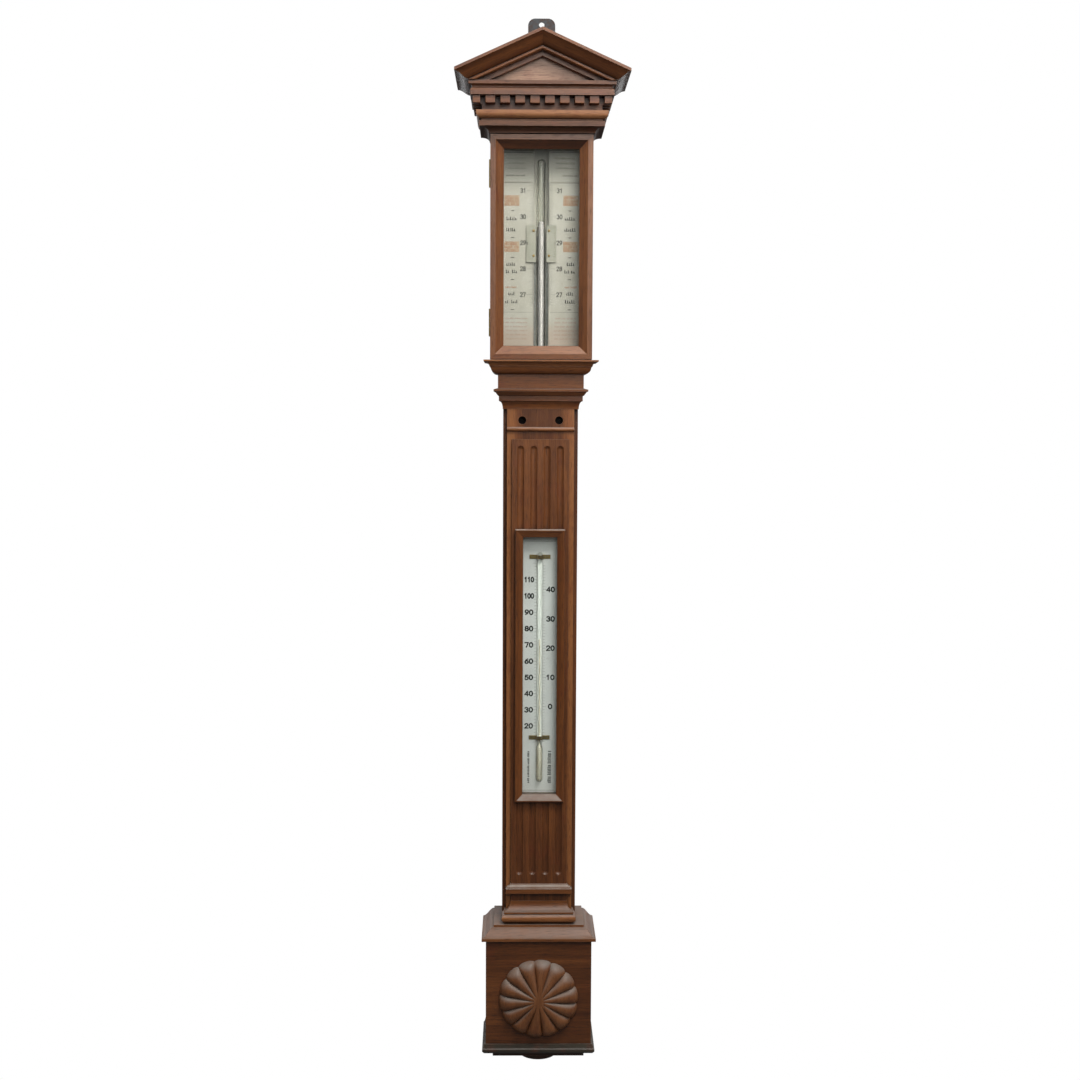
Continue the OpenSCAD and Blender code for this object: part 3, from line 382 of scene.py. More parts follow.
def mercury(name, bright, dull):
    """Mercury under a dull skin."""
    t = Tree(name)
    v = t.coords()
    film = t.noise(t.vec("MULTIPLY", v, (500.0, 500.0, 60.0)), 1.0, 3.0)
    b = t.add("BsdfPrincipled", Metallic=1.0)
    t.put(b, "Base Color", t.mix(t.span(film, 0.4, 0.8), bright, dull))
    t.put(b, "Roughness", t.span(film, 0.3, 0.7, 0.66, 0.78))
    return t.finish(b)


FOXING = (0.33, 0.23, 0.12)
# Painted shade at the head of a card, as from the frame and cornice above it.
HEAD_SHADE = (0.16, 0.155, 0.125)
FOOT_PINK = (0.60, 0.44, 0.34)
# Painted shade of a card's corners.
CORNER_SHADE = (0.12, 0.095, 0.06)


def card(name, seed, node, tint, top_shade, foot_pink):
    """Old varnished paper: yellowed, foxed and pinker at the foot, with painted shade at its head and in
    its corners.
    """
    t = Tree(name)
    v = t.vec("ADD", t.coords(), (seed, seed * 0.3, seed * 0.7))
    low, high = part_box(node)
    z = t.split(t.coords())[2]
    up = t.span(z, low.z, high.z, 0.0, 1.0, smooth=False)
    fox = t.noise(v, 210.0, 5.0, 0.7)
    cloud = t.noise(v, 38.0, 4.0, 0.55)
    weave = t.noise(v, 2600.0, 3.0, 0.6)
    colour = t.mix(t.span(cloud, 0.35, 0.7), tint[0], tint[1])
    colour = t.mix(t.math("MULTIPLY", t.span(fox, 0.60, 0.76), 0.30), colour, FOXING)
    # Painted shade: the card darkens to grey towards its head.
    head = t.math("ADD", up, t.math("MULTIPLY", cloud, 0.10))
    head_shade = t.math("MULTIPLY", t.span(head, 0.80, 0.98), top_shade)
    colour = t.mix(head_shade, colour, HEAD_SHADE)
    foot = t.math("ADD", up, t.math("MULTIPLY", cloud, 0.06))
    pink = t.math("MULTIPLY", t.span(foot, 0.20, 0.12), foot_pink)
    colour = t.mix(pink, colour, FOOT_PINK)
    # Painted shade: darker where the AO finds little open sky near the walls around the card.
    nook = t.add("AmbientOcclusion", {"samples": 4}, Distance=0.004)
    corner_shade = t.math("MULTIPLY", t.span(nook.outputs["AO"], 0.8, 0.25), 0.6)
    colour = t.mix(corner_shade, colour, CORNER_SHADE)
    b = t.add("BsdfPrincipled")
    t.put(b, "Base Color", colour)
    t.put(b, "Roughness", t.math("ADD", t.math("MULTIPLY", cloud, 0.2), 0.38))
    t.put(b, "Normal", t.bump(weave, 0.10, 0.0001))
    return t.finish(b)


def ink(name, colour, fade, seed):
    """Printing ink, worn thin in places."""
    t = Tree(name)
    v = t.vec("ADD", t.coords(), (seed, seed, seed))
    worn = t.noise(v, 900.0, 3.0, 0.6)
    b = t.add("BsdfPrincipled")
    t.put(b, "Base Color", t.mix(t.span(worn, 0.42, 0.72), colour, fade))
    t.put(b, "Roughness", t.span(worn, 0.3, 0.7, 0.42, 0.6))
    return t.finish(b)


def enamel(name):
    """White glass fused into the back of the tube."""
    t = Tree(name)
    cloud = t.noise(t.coords(), 300.0, 3.0, 0.6)
    b = t.add("BsdfPrincipled")
    t.put(b, "Base Color", t.mix(t.span(cloud, 0.35, 0.7), (0.95, 0.95, 0.92), (0.90, 0.90, 0.86)))
    t.put(b, "Roughness", t.span(cloud, 0.3, 0.7, 0.25, 0.4))
    return t.finish(b)


def hide(name):
    """Soft leather with a fine grain."""
    t = Tree(name)
    v = t.coords()
    cells = t.add("TexVoronoi", {"feature": "F1"}, Scale=1400.0)
    t.put(cells, "Vector", v)
    crease = t.noise(t.vec("MULTIPLY", v, (260.0, 260.0, 900.0)), 1.0, 4.0)
    b = t.add("BsdfPrincipled")
    t.put(b, "Base Color", t.mix(crease, (0.16, 0.095, 0.045), (0.33, 0.21, 0.11)))
    t.put(b, "Roughness", t.span(crease, 0.3, 0.7, 0.55, 0.75))
    t.put(b, "Normal", t.bump(cells.outputs["Distance"], 0.35, 0.0004))
    return t.finish(b)


BOX_TONES = ((0.20, 0.11, 0.042), (0.33, 0.20, 0.085), (0.42, 0.27, 0.125), (0.52, 0.36, 0.19))
FOOT_TONES = ((0.016, 0.0115, 0.0075), (0.038, 0.029, 0.019), (0.060, 0.048, 0.032), (0.088, 0.072, 0.050))
BACK_TONES = ((0.022, 0.009, 0.005), (0.060, 0.024, 0.012), (0.095, 0.042, 0.020), (0.15, 0.072, 0.036))


def by_height(node, foot, top, start=0.0, end=1.0):
    """Tone that changes up a node, between two shares of its height: painted light on the parts that catch
    it and painted shade on those under a projection.
    """
    low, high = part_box(node)
    z0, z1 = (low.z + (high.z - low.z) * share for share in (start, end))
    return lambda t: t.span(t.split(t.coords())[2], z0, z1, foot, top)


def by_reach(inner, outer, x0, x1):
    """Tone of the middle of a board and of its margins, in millimetres from the axis; lighter margins are
    a painted highlight.
    """

    def tone(t):
        reach = t.math("ABSOLUTE", t.split(t.coords())[0])
        return t.span(reach, x0 * MM, x1 * MM, inner, outer)

    return tone


def by_lean(down, level, up):
    """Tone of faces that look down, ahead and up: painted shade on faces that look down and painted light
    on faces that look up.
    """

    def tone(t):
        lean = t.split(t.add("NewGeometry").outputs["Normal"])[2]
        below = t.span(lean, -0.45, -0.10, down, level)
        return t.math("ADD", below, t.span(lean, 0.10, 0.45, 0.0, up - level))

    return tone


# Every wooden node: the way its grain runs, its tone shift and its least roughness. Some tone shifts are
# painted light and shade: the tympanum, the trunk front's margins, the neck moulding's ledge and the
# pilaster base's torus are lighter for the light they catch, the bed moulding is darker at its foot under
# its ovolo, and the door frame is darker on faces that look down and lighter on faces that look up.
GRAINS = {
    "backboard": ("z", -0.02, 0.55),
    "entablature_block": ("x", -0.03, 0.5),
    "roof_boards": ("rake", -0.02, 0.5),
    "base_floor": ("x", -0.05, 0.5),
    "plate_backing": ("z", -0.06, 0.6),
    "head_sides": ("z", 0.0, 0.30),
    "trunk_sides": ("z", 0.0, 0.32),
    "base_sides": ("z", -0.02, 0.34),
    "bed_moulding": ("run", by_height("bed_moulding", -0.08, 0.52, 0.45, 0.70), 0.46),
    "dentil_course": ("run", 0.02, 0.36),
    "corona": ("run", 0.02, 0.30),
    "tympanum": ("x", 0.10, 0.30),
    "raking_bed_mouldings": ("rake", 0.04, 0.30),
    "raking_crown": ("rake", 0.02, 0.28),
    "eaves_crown": ("y", 0.06, 0.16),
    "neck_block": ("run", 0.09, 0.30),
    "neck_moulding_upper": ("run", by_height("neck_moulding_upper", 0.07, 0.26), 0.28),
    "neck_moulding_lower": ("run", 0.02, 0.28),
    "trunk_front": ("z", by_reach(-0.01, 0.32, 16.0, 31.0), 0.30),
    "fluted_panel": ("z", 0.0, 0.32),
    "astragal_upper": ("x", 0.16, 0.28),
    "astragal_lower": ("x", 0.05, 0.28),
    "pilaster_base": ("run", by_height("pilaster_base", 0.32, 0.08, 0.30, 0.55), 0.28),
    "base_front": ("x", -0.05, 0.34),
    "base_cap": ("run", 0.07, 0.32),
    "plinth_moulding": ("run", 0.0, 0.34),
    "patera": ("z", 0.08, 0.33),
    "door_frame": ("frame", by_lean(-0.19, 0.07, 0.20), 0.27),
    "door_glazing_bead": ("frame", 0.0, 0.35),
    "thermometer_frame": ("frame", 0.03, 0.27),
}
# Dust with painted light on faces that look up, and painted shade with soot in the nooks, where a node has
# more or less than the rest.
WEAR = {
    "door_frame": dict(dust_and_light=0.20, shade_and_soot=0.7),
    "patera": dict(dust_and_light=0.9, shade_and_soot=0.5, dust_light_tone=1.3, dust_light_from=(0.04, 0.8)),
    "thermometer_frame": dict(dust_and_light=0.9, shade_and_soot=0.8, dust_light_tone=2.0, dust_light_from=(0.06, 0.5)),
    "astragal_upper": dict(dust_and_light=0.9, shade_and_soot=0.6, dust_light_tone=1.3),
    "trunk_front": dict(shade_and_soot=0.6),
    "astragal_lower": dict(dust_and_light=0.9, shade_and_soot=0.7, dust_light_tone=1.9, dust_light_from=(0.05, 0.55)),
    "pilaster_base": dict(dust_and_light=0.75, shade_and_soot=0.75),
    "base_cap": dict(dust_and_light=0.65, dust_light_tone=1.2),
    "neck_moulding_upper": dict(dust_and_light=0.7, shade_and_soot=0.75, dust_light_tone=1.6),
    "bed_moulding": dict(dust_and_light=0.08),
    "raking_bed_mouldings": dict(dust_and_light=0.35),
    "plinth_moulding": dict(dust_and_light=0.4),
}
OWN_TONES = {
    "tympanum": TYMPANUM_LIGHT_TONES,
    "plinth_moulding": FOOT_TONES,
    "door_frame": DOOR_TONES,
    "bed_moulding": DOOR_TONES,
    "patera": DOOR_TONES,
}
DULL = {"backboard", "entablature_block", "roof_boards", "base_floor", "plate_backing"}

# The first seeds of the case's wood and of the cistern's.
CASE_SEED, CISTERN_SEED = 40, 90

MATERIALS = {}
for i, (node, (grain, tone, polish)) in enumerate(GRAINS.items()):
    tones = BACK_TONES if node in DULL else OWN_TONES.get(node, WOOD_TONES)
    wear = WEAR.get(node, {})
    MATERIALS[node] = wood("wood_" + node, grain, CASE_SEED + i, node, tone, polish, tones, **wear)
for i, node in enumerate(("cistern_lid", "cistern_body", "cistern_base", "pressure_pad")):
    tones = BACK_TONES if node == "cistern_base" else BOX_TONES
    MATERIALS[node] = turned_wood("boxwood_" + node, tones, CISTERN_SEED + i)
BRASS = metal("aged_brass", (0.52, 0.36, 0.13), (0.16, 0.095, 0.035), 0.22, 1.0)
WORK_BRASS = metal("works_brass", (0.36, 0.27, 0.12), (0.09, 0.06, 0.03), 0.30, 2.0)
BRONZE = metal("bronzed_brass", (0.30, 0.305, 0.29), (0.10, 0.095, 0.082), 0.42, 6.0)
STEEL = metal("plain_steel", (0.34, 0.34, 0.35), (0.08, 0.07, 0.065), 0.28, 3.0)
# Dark steel, so nearly black that the key bushes and pinion ends also stand for the shade in the key
# holes.
SHADED_DARK_STEEL = metal("shaded_dark_steel", (0.022, 0.021, 0.021), (0.014, 0.011, 0.009), 0.45, 7.0)
IRON = metal("black_iron", (0.060, 0.062, 0.066), (0.075, 0.036, 0.020), 0.40, 4.0, 260.0, 0.55)
PANE = pane("door_pane", (0.962, 0.966, 0.955), 0.07)
THERMO_PANE = pane("thermometer_pane", (0.955, 0.975, 0.965), 0.05)
TUBE = tube_glass("barometer_glass", (0.965, 0.965, 0.955))
QUICKSILVER = mercury("quicksilver", (0.53, 0.50, 0.505), (0.43, 0.405, 0.41))
BULB = mercury("bulb_mercury", (0.92, 0.86, 0.74), (0.74, 0.67, 0.54))
PLATE_TINT = ((0.60, 0.577, 0.49), (0.68, 0.66, 0.585))
VERNIER_TINT = ((0.46, 0.455, 0.37), (0.53, 0.515, 0.43))
OPAL_TINT = ((0.89, 0.88, 0.865), (0.95, 0.94, 0.925))
LINING = card("channel_card", 7.3, "plate_backing", ((0.58, 0.55, 0.49), (0.66, 0.62, 0.56)), 0.3, 0.0)
ENAMEL = enamel("white_enamel")
for node in ("hinge_leaves_case", "hinge_leaves_door", "thermometer_clips", "portable_screw"):
    MATERIALS[node] = BRASS
for node in ("pinion_bearings", "rack_guides"):
    MATERIALS[node] = WORK_BRASS
for node in ("rack_left", "rack_right"):
    MATERIALS[node] = BRONZE
for node in ("hinge_pins", "hanger_screws"):
    MATERIALS[node] = STEEL
for node in ("pinion_left", "pinion_right", "key_bushes"):
    MATERIALS[node] = SHADED_DARK_STEEL
MATERIALS.update({
    "hanger_plate": IRON, "door_glass": PANE, "thermometer_glass": THERMO_PANE, "barometer_tube": TUBE,
    "thermometer_tube": TUBE, "mercury_column": QUICKSILVER, "cistern_mercury": QUICKSILVER,
    "leather_bag": hide("pouch_leather"),
    "register_plate_left": card("card_left", 0.3, "register_plate_left", PLATE_TINT, 0.75, 0.6),
    "register_plate_right": card("card_right", 1.7, "register_plate_right", PLATE_TINT, 0.6, 0.6),
    "vernier_left": card("vernier_card_left", 2.9, "vernier_left", VERNIER_TINT, 0.1, 0.0),
    "vernier_right": card("vernier_card_right", 3.7, "vernier_right", VERNIER_TINT, 0.1, 0.0),
    "thermometer_scale": card("opal_scale", 5.1, "thermometer_scale", OPAL_TINT, 0.15, 0.1),
})

# Small edge radii that a hand-finished case has, in millimetres. The patera and the bored trunk
# front keep theirs sharp, because rounding would spoil the shading of their faces.
WOOD_EDGE = 0.35
EDGE = {node: WOOD_EDGE for node in GRAINS if node not in ("patera", "trunk_front")}
EDGE.update({
    "dentil_course": 0.5, "raking_crown": 0.3, "base_cap": 0.4, "backboard": 0.5,
    "door_glazing_bead": 0.2, "thermometer_clips": 0.12, "vernier_left": 0.12, "vernier_right": 0.12,
    "cistern_base": 0.3, "portable_screw": 0.25, "hinge_leaves_case": 0.1, "hinge_leaves_door": 0.1,
})
EDGE_STEPS = 2
SMOOTH_ANGLE = math.radians(32)
# Points nearer than this, in metres, are one point.
WELD_GAP = 0.000004


def dress_nodes():
    """Give every node its material, rounded edges and clean shading."""
    for name, obj in NODES.items():
        mesh = obj.data
        mesh.materials.clear()
        mesh.materials.append(MATERIALS[name])
        for poly in mesh.polygons:
            poly.use_smooth = True
        weld = obj.modifiers.new("weld", "WELD")
        weld.merge_threshold = WELD_GAP
        if name in EDGE:
            bevel = obj.modifiers.new("edges", "BEVEL")
            bevel.width = EDGE[name] * MM
            bevel.segments = EDGE_STEPS
            bevel.limit_method = "ANGLE"
            bevel.angle_limit = SMOOTH_ANGLE
            bevel.use_clamp_overlap = True
            bevel.face_strength_mode = "FSTR_ALL"
        split = obj.modifiers.new("creases", "EDGE_SPLIT")
        split.split_angle = SMOOTH_ANGLE
        if name in EDGE:
            # The flat faces set the normals, so that the small edge faces don't shade them.
            flats = obj.modifiers.new("flats", "WEIGHTED_NORMAL")
            flats.use_face_influence = True


dress_nodes()

# Details that the solids leave to the finish


def link(name, mesh, mat, body):
    """Put a mesh in the scene, riding on a body."""
    obj = bpy.data.objects.new(name, mesh)
    bpy.context.scene.collection.objects.link(obj)
    mesh.materials.append(mat)
    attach(obj, body)
    return obj


def from_bmesh(name, bm, mat, body, smooth=False):
    mesh = bpy.data.meshes.new(name)
    bmesh.ops.recalc_face_normals(bm, faces=bm.faces)
    bm.to_mesh(mesh)
    bm.free()
    if smooth:
        for poly in mesh.polygons:
            poly.use_smooth = True
    return link(name, mesh, mat, body)


# Millimetres by which a mark is sunk into the face that it stands on.
SINK = 0.01
# Shortest stroke of a numeral, in millimetres.
SHORTEST = 1e-6


class Print:
    """Thin raised marks on a face that looks along -Y, all in one mesh."""

    def __init__(self, face, thick=0.04):
        self.bm = bmesh.new()
        self.face = face
        self.thick = thick

    def quad(self, corners):
        back = [self.bm.verts.new(at(x, self.face - SINK, z)) for x, z in corners]
        front = [self.bm.verts.new(at(x, self.face + self.thick, z)) for x, z in corners]
        self.bm.faces.new(front)
        self.bm.faces.new(back[::-1])
        n = len(corners)
        for i in range(n):
            self.bm.faces.new((front[i], back[i], back[(i + 1) % n], front[(i + 1) % n]))

    def bar(self, x0, x1, z0, z1):
        self.quad(((x0, z0), (x1, z0), (x1, z1), (x0, z1)))

    def stroke(self, points, width):
        """A polyline of short bars with the given width."""
        for (xa, za), (xb, zb) in zip(points, points[1:]):
            d = Vector((xb - xa, zb - za))
            if d.length < SHORTEST:
                continue
            d.normalize()
            n = Vector((-d.y, d.x)) * width / 2
            e = d * width / 2
            a, b = Vector((xa, za)) - e, Vector((xb, zb)) + e
            self.quad([tuple(q) for q in (a - n, b - n, b + n, a + n)])

    def rule(self, x0, x1, z, half):
        """A level line through z, of the given half thickness."""
        self.bar(x0, x1, z - half, z + half)

    def digit(self, ch, x, z, h, w, pen):
        for line in DIGITS[ch]:
            self.stroke([(x + px * w, z + pz * h) for px, pz in line], pen)

    def number(self, text, x, z, h, pen, wide=1.0):
        """Numerals of height h, centred at x and z; wide stretches them."""
        w, step = h * 0.52 * wide, h * 0.74 * wide
        total = step * (len(text) - 1) + w
        x0 = x - total / 2
        for i, ch in enumerate(text):
            self.digit(ch, x0 + i * step, z - h / 2, h, w, pen)

    def words(self, rng, x0, x1, z, h, ragged=0.0):
        """A line of small print: short upright and level touches, no letters."""
        x0 += rng.uniform(0, ragged)
        x1 -= rng.uniform(0, ragged)
        x = x0
        while x < x1 - h * 0.5:
            word = min(x + h * rng.uniform(1.2, 4.2), x1)
            while x < word - h * 0.2:
                w = h * rng.uniform(0.28, 0.55)
                lift = h * rng.choice((0.0, 0.0, 0.22, 0.35))
                self.bar(x, min(x + w * 0.6, word), z - h / 2, z + h / 2 - lift)
                self.bar(x, min(x + w, word), z - h / 2, z - h / 2 + h * 0.22)
                x += w + h * 0.16
            x = word + h * 0.55

    def build(self, name, mat, body, slot):
        from_bmesh(name, self.bm, mat, body)


def ring(cx, cz, rx, rz, a0=0.0, a1=360.0, n=14):
    """Points of an oval arc."""
    pts = []
    for i in range(n + 1):
        a = math.radians(a0 + (a1 - a0) * i / n)
        pts.append((cx + rx * math.cos(a), cz + rz * math.sin(a)))
    return pts


# Strokes of the numerals, in shares of their width and height.
DIGITS = {
    "0": [ring(0.5, 0.5, 0.5, 0.5)],
    "1": [[(0.2, 0.8), (0.55, 1.0), (0.55, 0.0)]],
    "2": [ring(0.5, 0.72, 0.47, 0.28, 170, -25, 9) + [(0.0, 0.0), (1.0, 0.0)]],
    "3": [ring(0.47, 0.75, 0.45, 0.25, 150, -80, 9), ring(0.47, 0.26, 0.5, 0.27, 85, -150, 9)],
    "4": [[(0.78, 0.0), (0.78, 1.0), (0.0, 0.28), (1.0, 0.28)]],
    "5": [[(0.92, 1.0), (0.2, 1.0), (0.12, 0.55)] + ring(0.47, 0.32, 0.5, 0.32, 120, -150, 10)],
    "6": [ring(0.5, 0.3, 0.48, 0.3), [(0.85, 0.98), (0.35, 0.8), (0.05, 0.4)]],
    "7": [[(0.0, 1.0), (1.0, 1.0), (0.4, 0.0)]],
    "8": [ring(0.5, 0.75, 0.4, 0.25, n=12), ring(0.5, 0.25, 0.48, 0.26, n=12)],
    "9": [ring(0.5, 0.7, 0.48, 0.3), [(0.95, 0.6), (0.65, 0.2), (0.15, 0.02)]],
}
BLACK_INK = ink("black_ink", (0.020, 0.019, 0.017), (0.075, 0.070, 0.060), 0.2)
PALE_INK = ink("pale_ink", (0.13, 0.125, 0.105), (0.26, 0.25, 0.20), 0.9)
RED_INK = ink("red_ink", (0.50, 0.19, 0.085), (0.56, 0.31, 0.18), 1.4)
WASH_INK = ink("red_wash", (0.60, 0.44, 0.29), (0.66, 0.55, 0.42), 2.7)
PINK_INK = ink("faded_red_ink", (0.58, 0.37, 0.30), (0.61, 0.48, 0.40), 2.1)

# Register plates: inch scales from the cistern's level, with generic print beside them.
# Distances from the axis and heights above the foot, in millimetres.

PLATE_FACE = 31.5
PRINT_THICK, WASH_THICK = 0.06, 0.02
CISTERN_LEVEL = 74.5
INCH = 25.4
# The scale's ends in inches, its number of divisions and the one that is the first whole inch.
SCALE_FOOT, SCALE_TOP, DIVISIONS, FIRST_INCH = 26.6, 31.3, 95, 8
SCALE_LINE, DIVISION_HALF = 8.0, 0.09
NUMERAL_X, NUMERAL_HEIGHT, NUMERAL_PEN = 18.0, 4.0, 0.7
# Lines of words: height, start and end.
WORD_LINES = ((834.6, 22.5, 35.0), (823.8, 22.0, 36.0), (790.2, 24.5, 35.0), (782.9, 22.0, 36.0),
              (761.2, 24.5, 33.0), (753.4, 22.5, 35.5))
DASHES = (842.3, 816.0, 796.6, 775.1, 745.5)
RED_PANELS, PANEL_IN, PANEL_OUT = (855.2, 810.2), 21.8, 36.4
RED_LINE = 767.8
HEAD_LINES, HEAD_NOTE = (893.4, 888.6, 883.9), 876.6
FOOT_LINE, FOOT_LINES, FOOT_STEP = 737.0, 6, 4.0
PLATE_IN, PLATE_OUT = 9.0, 41.0
BOLD_HALF, FINE_HALF = 0.2, 0.1


def inch_height(inches):
    return CISTERN_LEVEL + INCH * inches


def division_reach(step):
    """How far a division reaches: inches, halves, tenths and twentieths."""
    reaches = ((20, 14.6), (10, 12.6), (2, 11.2), (1, 9.8))
    return next(reach for every, reach in reaches if step % every == 0)


def print_register():
    rng = random.Random(11)
    black, pale, red, pink = (Print(PLATE_FACE, PRINT_THICK) for _ in range(4))
    wash = Print(PLATE_FACE, WASH_THICK)
    for side in (-1, 1):

        def ends(x0, x1):
            return sorted((side * x0, side * x1))

        def rule(p, x0, x1, z, half):
            p.rule(*ends(x0, x1), z, half)

        def line(p, x0, x1, z, h, ragged=1.5):
            p.words(rng, *ends(x0, x1), z, h, ragged)

        for n in range(27, 32):
            black.number(str(n), side * NUMERAL_X, inch_height(n), NUMERAL_HEIGHT, NUMERAL_PEN)
        for i in range(DIVISIONS):
            step = i - FIRST_INCH
            z = inch_height(SCALE_FOOT) + i * INCH / 20
            tone = black if step % 10 == 0 else pale
            rule(tone, SCALE_LINE, division_reach(step), z, DIVISION_HALF)
        upright = ends(SCALE_LINE - FINE_HALF, SCALE_LINE + FINE_HALF)
        pale.bar(*upright, inch_height(SCALE_FOOT), inch_height(SCALE_TOP))
        for z, x0, x1 in WORD_LINES:
            line(black, x0, x1, z, 3.3)
        for z in DASHES:
            rule(black, 27.0, 29.6, z, 0.35)
            rule(pale, 25.6, 31.0, z, FINE_HALF)
        for top in RED_PANELS:
            wash.bar(*ends(PANEL_IN - 0.2, PANEL_OUT + 0.2), top - 7.9, top + 1.8)
            for i in range(3):
                line(red, PANEL_IN, PANEL_OUT, top - i * 3.0, 2.5, 0.4)
            rule(red, PANEL_IN, PANEL_OUT, top + 1.85, 0.15)
            rule(red, PANEL_IN, PANEL_OUT, top - 7.95, 0.15)
        line(red, 23.0, 36.0, RED_LINE, 2.2)
        for z in HEAD_LINES:
            line(pale, 12.5, 35.5, z, 1.9, 3.0)
        line(black, 14.0 if side < 0 else 20.0, 35.5, HEAD_NOTE, 1.5)
        rule(black, PLATE_IN, PLATE_OUT, 869.5, BOLD_HALF)
        rule(pale, PLATE_IN, PLATE_OUT, 870.5, FINE_HALF)
        rule(black, PLATE_IN, PLATE_OUT, 898.8, BOLD_HALF)
        for i in range(FOOT_LINES):
            line(pink, 12.0, 36.0, FOOT_LINE - i * FOOT_STEP, 1.6, 2.5)
        rule(pale, PLATE_IN, PLATE_OUT, 743.0, FINE_HALF)
        rule(black, PLATE_IN, PLATE_OUT, 709.8, BOLD_HALF)
    black.build("register_black_print", BLACK_INK, "case", "scale_plate")
    pale.build("register_fine_print", PALE_INK, "case", "scale_plate")
    red.build("register_red_print", RED_INK, "case", "scale_plate")
    wash.build("register_red_wash", WASH_INK, "case", "scale_plate")
    pink.build("register_foot_print", PINK_INK, "case", "scale_plate")


# Thermometer scale: degrees Fahrenheit on the left and Celsius on the right of the tube.

SCALE_FACE = 42.5
FAHRENHEIT_110 = 477.3
PER_DEGREE = 1.648
DEGREE_X, DEGREE_HEIGHT, DEGREE_PEN, DEGREE_WIDE = 10.8, 4.4, 1.2, 1.35
# Degree marks run from the scale's line to here, and those of the tens further.
TICK_IN, TICK_OUT, TEN_OUT = 3.3, 5.4, 6.6
DEGREE_LINE, DEGREE_LINE_HALF = 3.2, 0.07
# The columns of small print beside the bulb: middle and half width.
COLUMNS, COLUMN_FOOT, COLUMN_TOP = ((-11.0, 1.0), (10.2, 1.8)), 270.5, 303.0
BORDER_X, BORDER_HALF = 15.5, 0.15


def fahrenheit_height(t):
    return FAHRENHEIT_110 - (110 - t) * PER_DEGREE


def celsius_height(t):
    return fahrenheit_height(t * 1.8 + 32)


def print_thermometer():
    black, pale = Print(SCALE_FACE), Print(SCALE_FACE)
    rng = random.Random(23)
    for t in range(20, 111, 10):
        wide = DEGREE_WIDE if t < 100 else 1.0
        black.number(str(t), -DEGREE_X, fahrenheit_height(t), DEGREE_HEIGHT, DEGREE_PEN, wide)
    for t in range(0, 41, 10):
        black.number(str(t), DEGREE_X, celsius_height(t), DEGREE_HEIGHT, DEGREE_PEN, DEGREE_WIDE)
    sides = ((-1, fahrenheit_height, range(10, 121, 2)), (1, celsius_height, range(-12, 49)))
    for side, height, degrees in sides:
        for t in degrees:
            ten = t % 10 == 0
            x0, x1 = sorted((side * TICK_IN, side * (TEN_OUT if ten else TICK_OUT)))
            (black if ten else pale).rule(x0, x1, height(t), DIVISION_HALF)
    for x in (-DEGREE_LINE, DEGREE_LINE):
        x0, x1 = x - DEGREE_LINE_HALF, x + DEGREE_LINE_HALF
        pale.bar(x0, x1, fahrenheit_height(10), fahrenheit_height(120))
    for x, half in COLUMNS:
        z = COLUMN_FOOT
        while z < COLUMN_TOP:
            step = rng.uniform(0.7, 1.5)
            black.bar(x - half + rng.choice((0.0, 0.4)), x + half, z, z + step * 0.6)
            z += step + (1.0 if rng.random() < 0.12 else 0.0)
    for z in (263.05, 515.75):
        pale.rule(-BORDER_X, BORDER_X, z, BORDER_HALF)
    black.build("thermometer_black_print", BLACK_INK, "case", "thermometer_plate")
    pale.build("thermometer_fine_print", PALE_INK, "case", "thermometer_plate")


# Pieces of the register and thermometer that are too fine for the solids.


def lathe(name, profile, axis, mat, body, up="z", n=20):
    """A turned piece: profile points are (radius, along the axis), in millimetres."""
    bm = bmesh.new()
    rows = []
    for r, t in profile:
        row = []
        for k in range(n if r > 0 else 1):
            a = 2 * math.pi * k / n
            u, v = r * math.cos(a), r * math.sin(a)
            x, off, h = axis
            point = at(x + u, off - v, h + t) if up == "z" else at(x + u, off + t, h + v)
            row.append(bm.verts.new(point))
        rows.append(row)
    for a, b in zip(rows, rows[1:]):
        for k in range(n):
            corners = [a[k % len(a)], a[(k + 1) % len(a)], b[(k + 1) % len(b)], b[k % len(b)]]
            bm.faces.new(dict.fromkeys(corners))
    for row in (rows[0], rows[-1]):
        if len(row) > 2:
            bm.faces.new(row)
    return from_bmesh(name, bm, mat, body, smooth=True)


# The card in the channel: its face, thickness, half width, foot and top.
LINING_FACE, LINING_THICK, LINING_HALF, LINING_FOOT, LINING_TOP = 19.03, 0.3, 16.6, 702.0, 906.0


def line_channel():
    """The pale card behind the tube."""
    lining = Print(LINING_FACE, LINING_THICK)
    lining.bar(-LINING_HALF, LINING_HALF, LINING_FOOT, LINING_TOP)
    lining.build("channel_lining", LINING, "case", "scale_plate")


# A vernier's face, its first division and their spacing, and its two screws.
VERNIER_FACE, VERNIER_FOOT, VERNIER_STEP = 33.0, 797.5, 2.286
VERNIER_EDGE, FIVE_REACH, ONE_REACH = 14.5, 11.4, 12.6
SCREW_X, SCREWS = 7.6, ((798.2, "lower"), (822.6, "upper"))
SCREW_SLOT, SLOT_HALF = 1.0, 0.14
SCREW_HEAD = ((0.0, 0.62), (0.5, 0.57), (0.95, 0.38), (1.25, 0.10), (1.3, -0.02))


def dress_vernier(side, name):
    """Divisions and two screws on a vernier, which ride with it."""
    body = "vernier_%s_slider" % name
    ticks = Print(VERNIER_FACE)
    for i in range(11):
        x0, x1 = sorted((side * (FIVE_REACH if i % 5 == 0 else ONE_REACH), side * VERNIER_EDGE))
        ticks.rule(x0, x1, VERNIER_FOOT + i * VERNIER_STEP, 0.10)
    x = side * SCREW_X
    for z, _ in SCREWS:
        ticks.rule(x - SCREW_SLOT, x + SCREW_SLOT, z, SLOT_HALF)
    ticks.build("vernier_%s_divisions" % name, BLACK_INK, body, "scale_plate")
    for z, end in SCREWS:
        place = (x, VERNIER_FACE, z)
        lathe("vernier_%s_%s_screw" % (name, end), SCREW_HEAD, place, BRASS, body, "y")


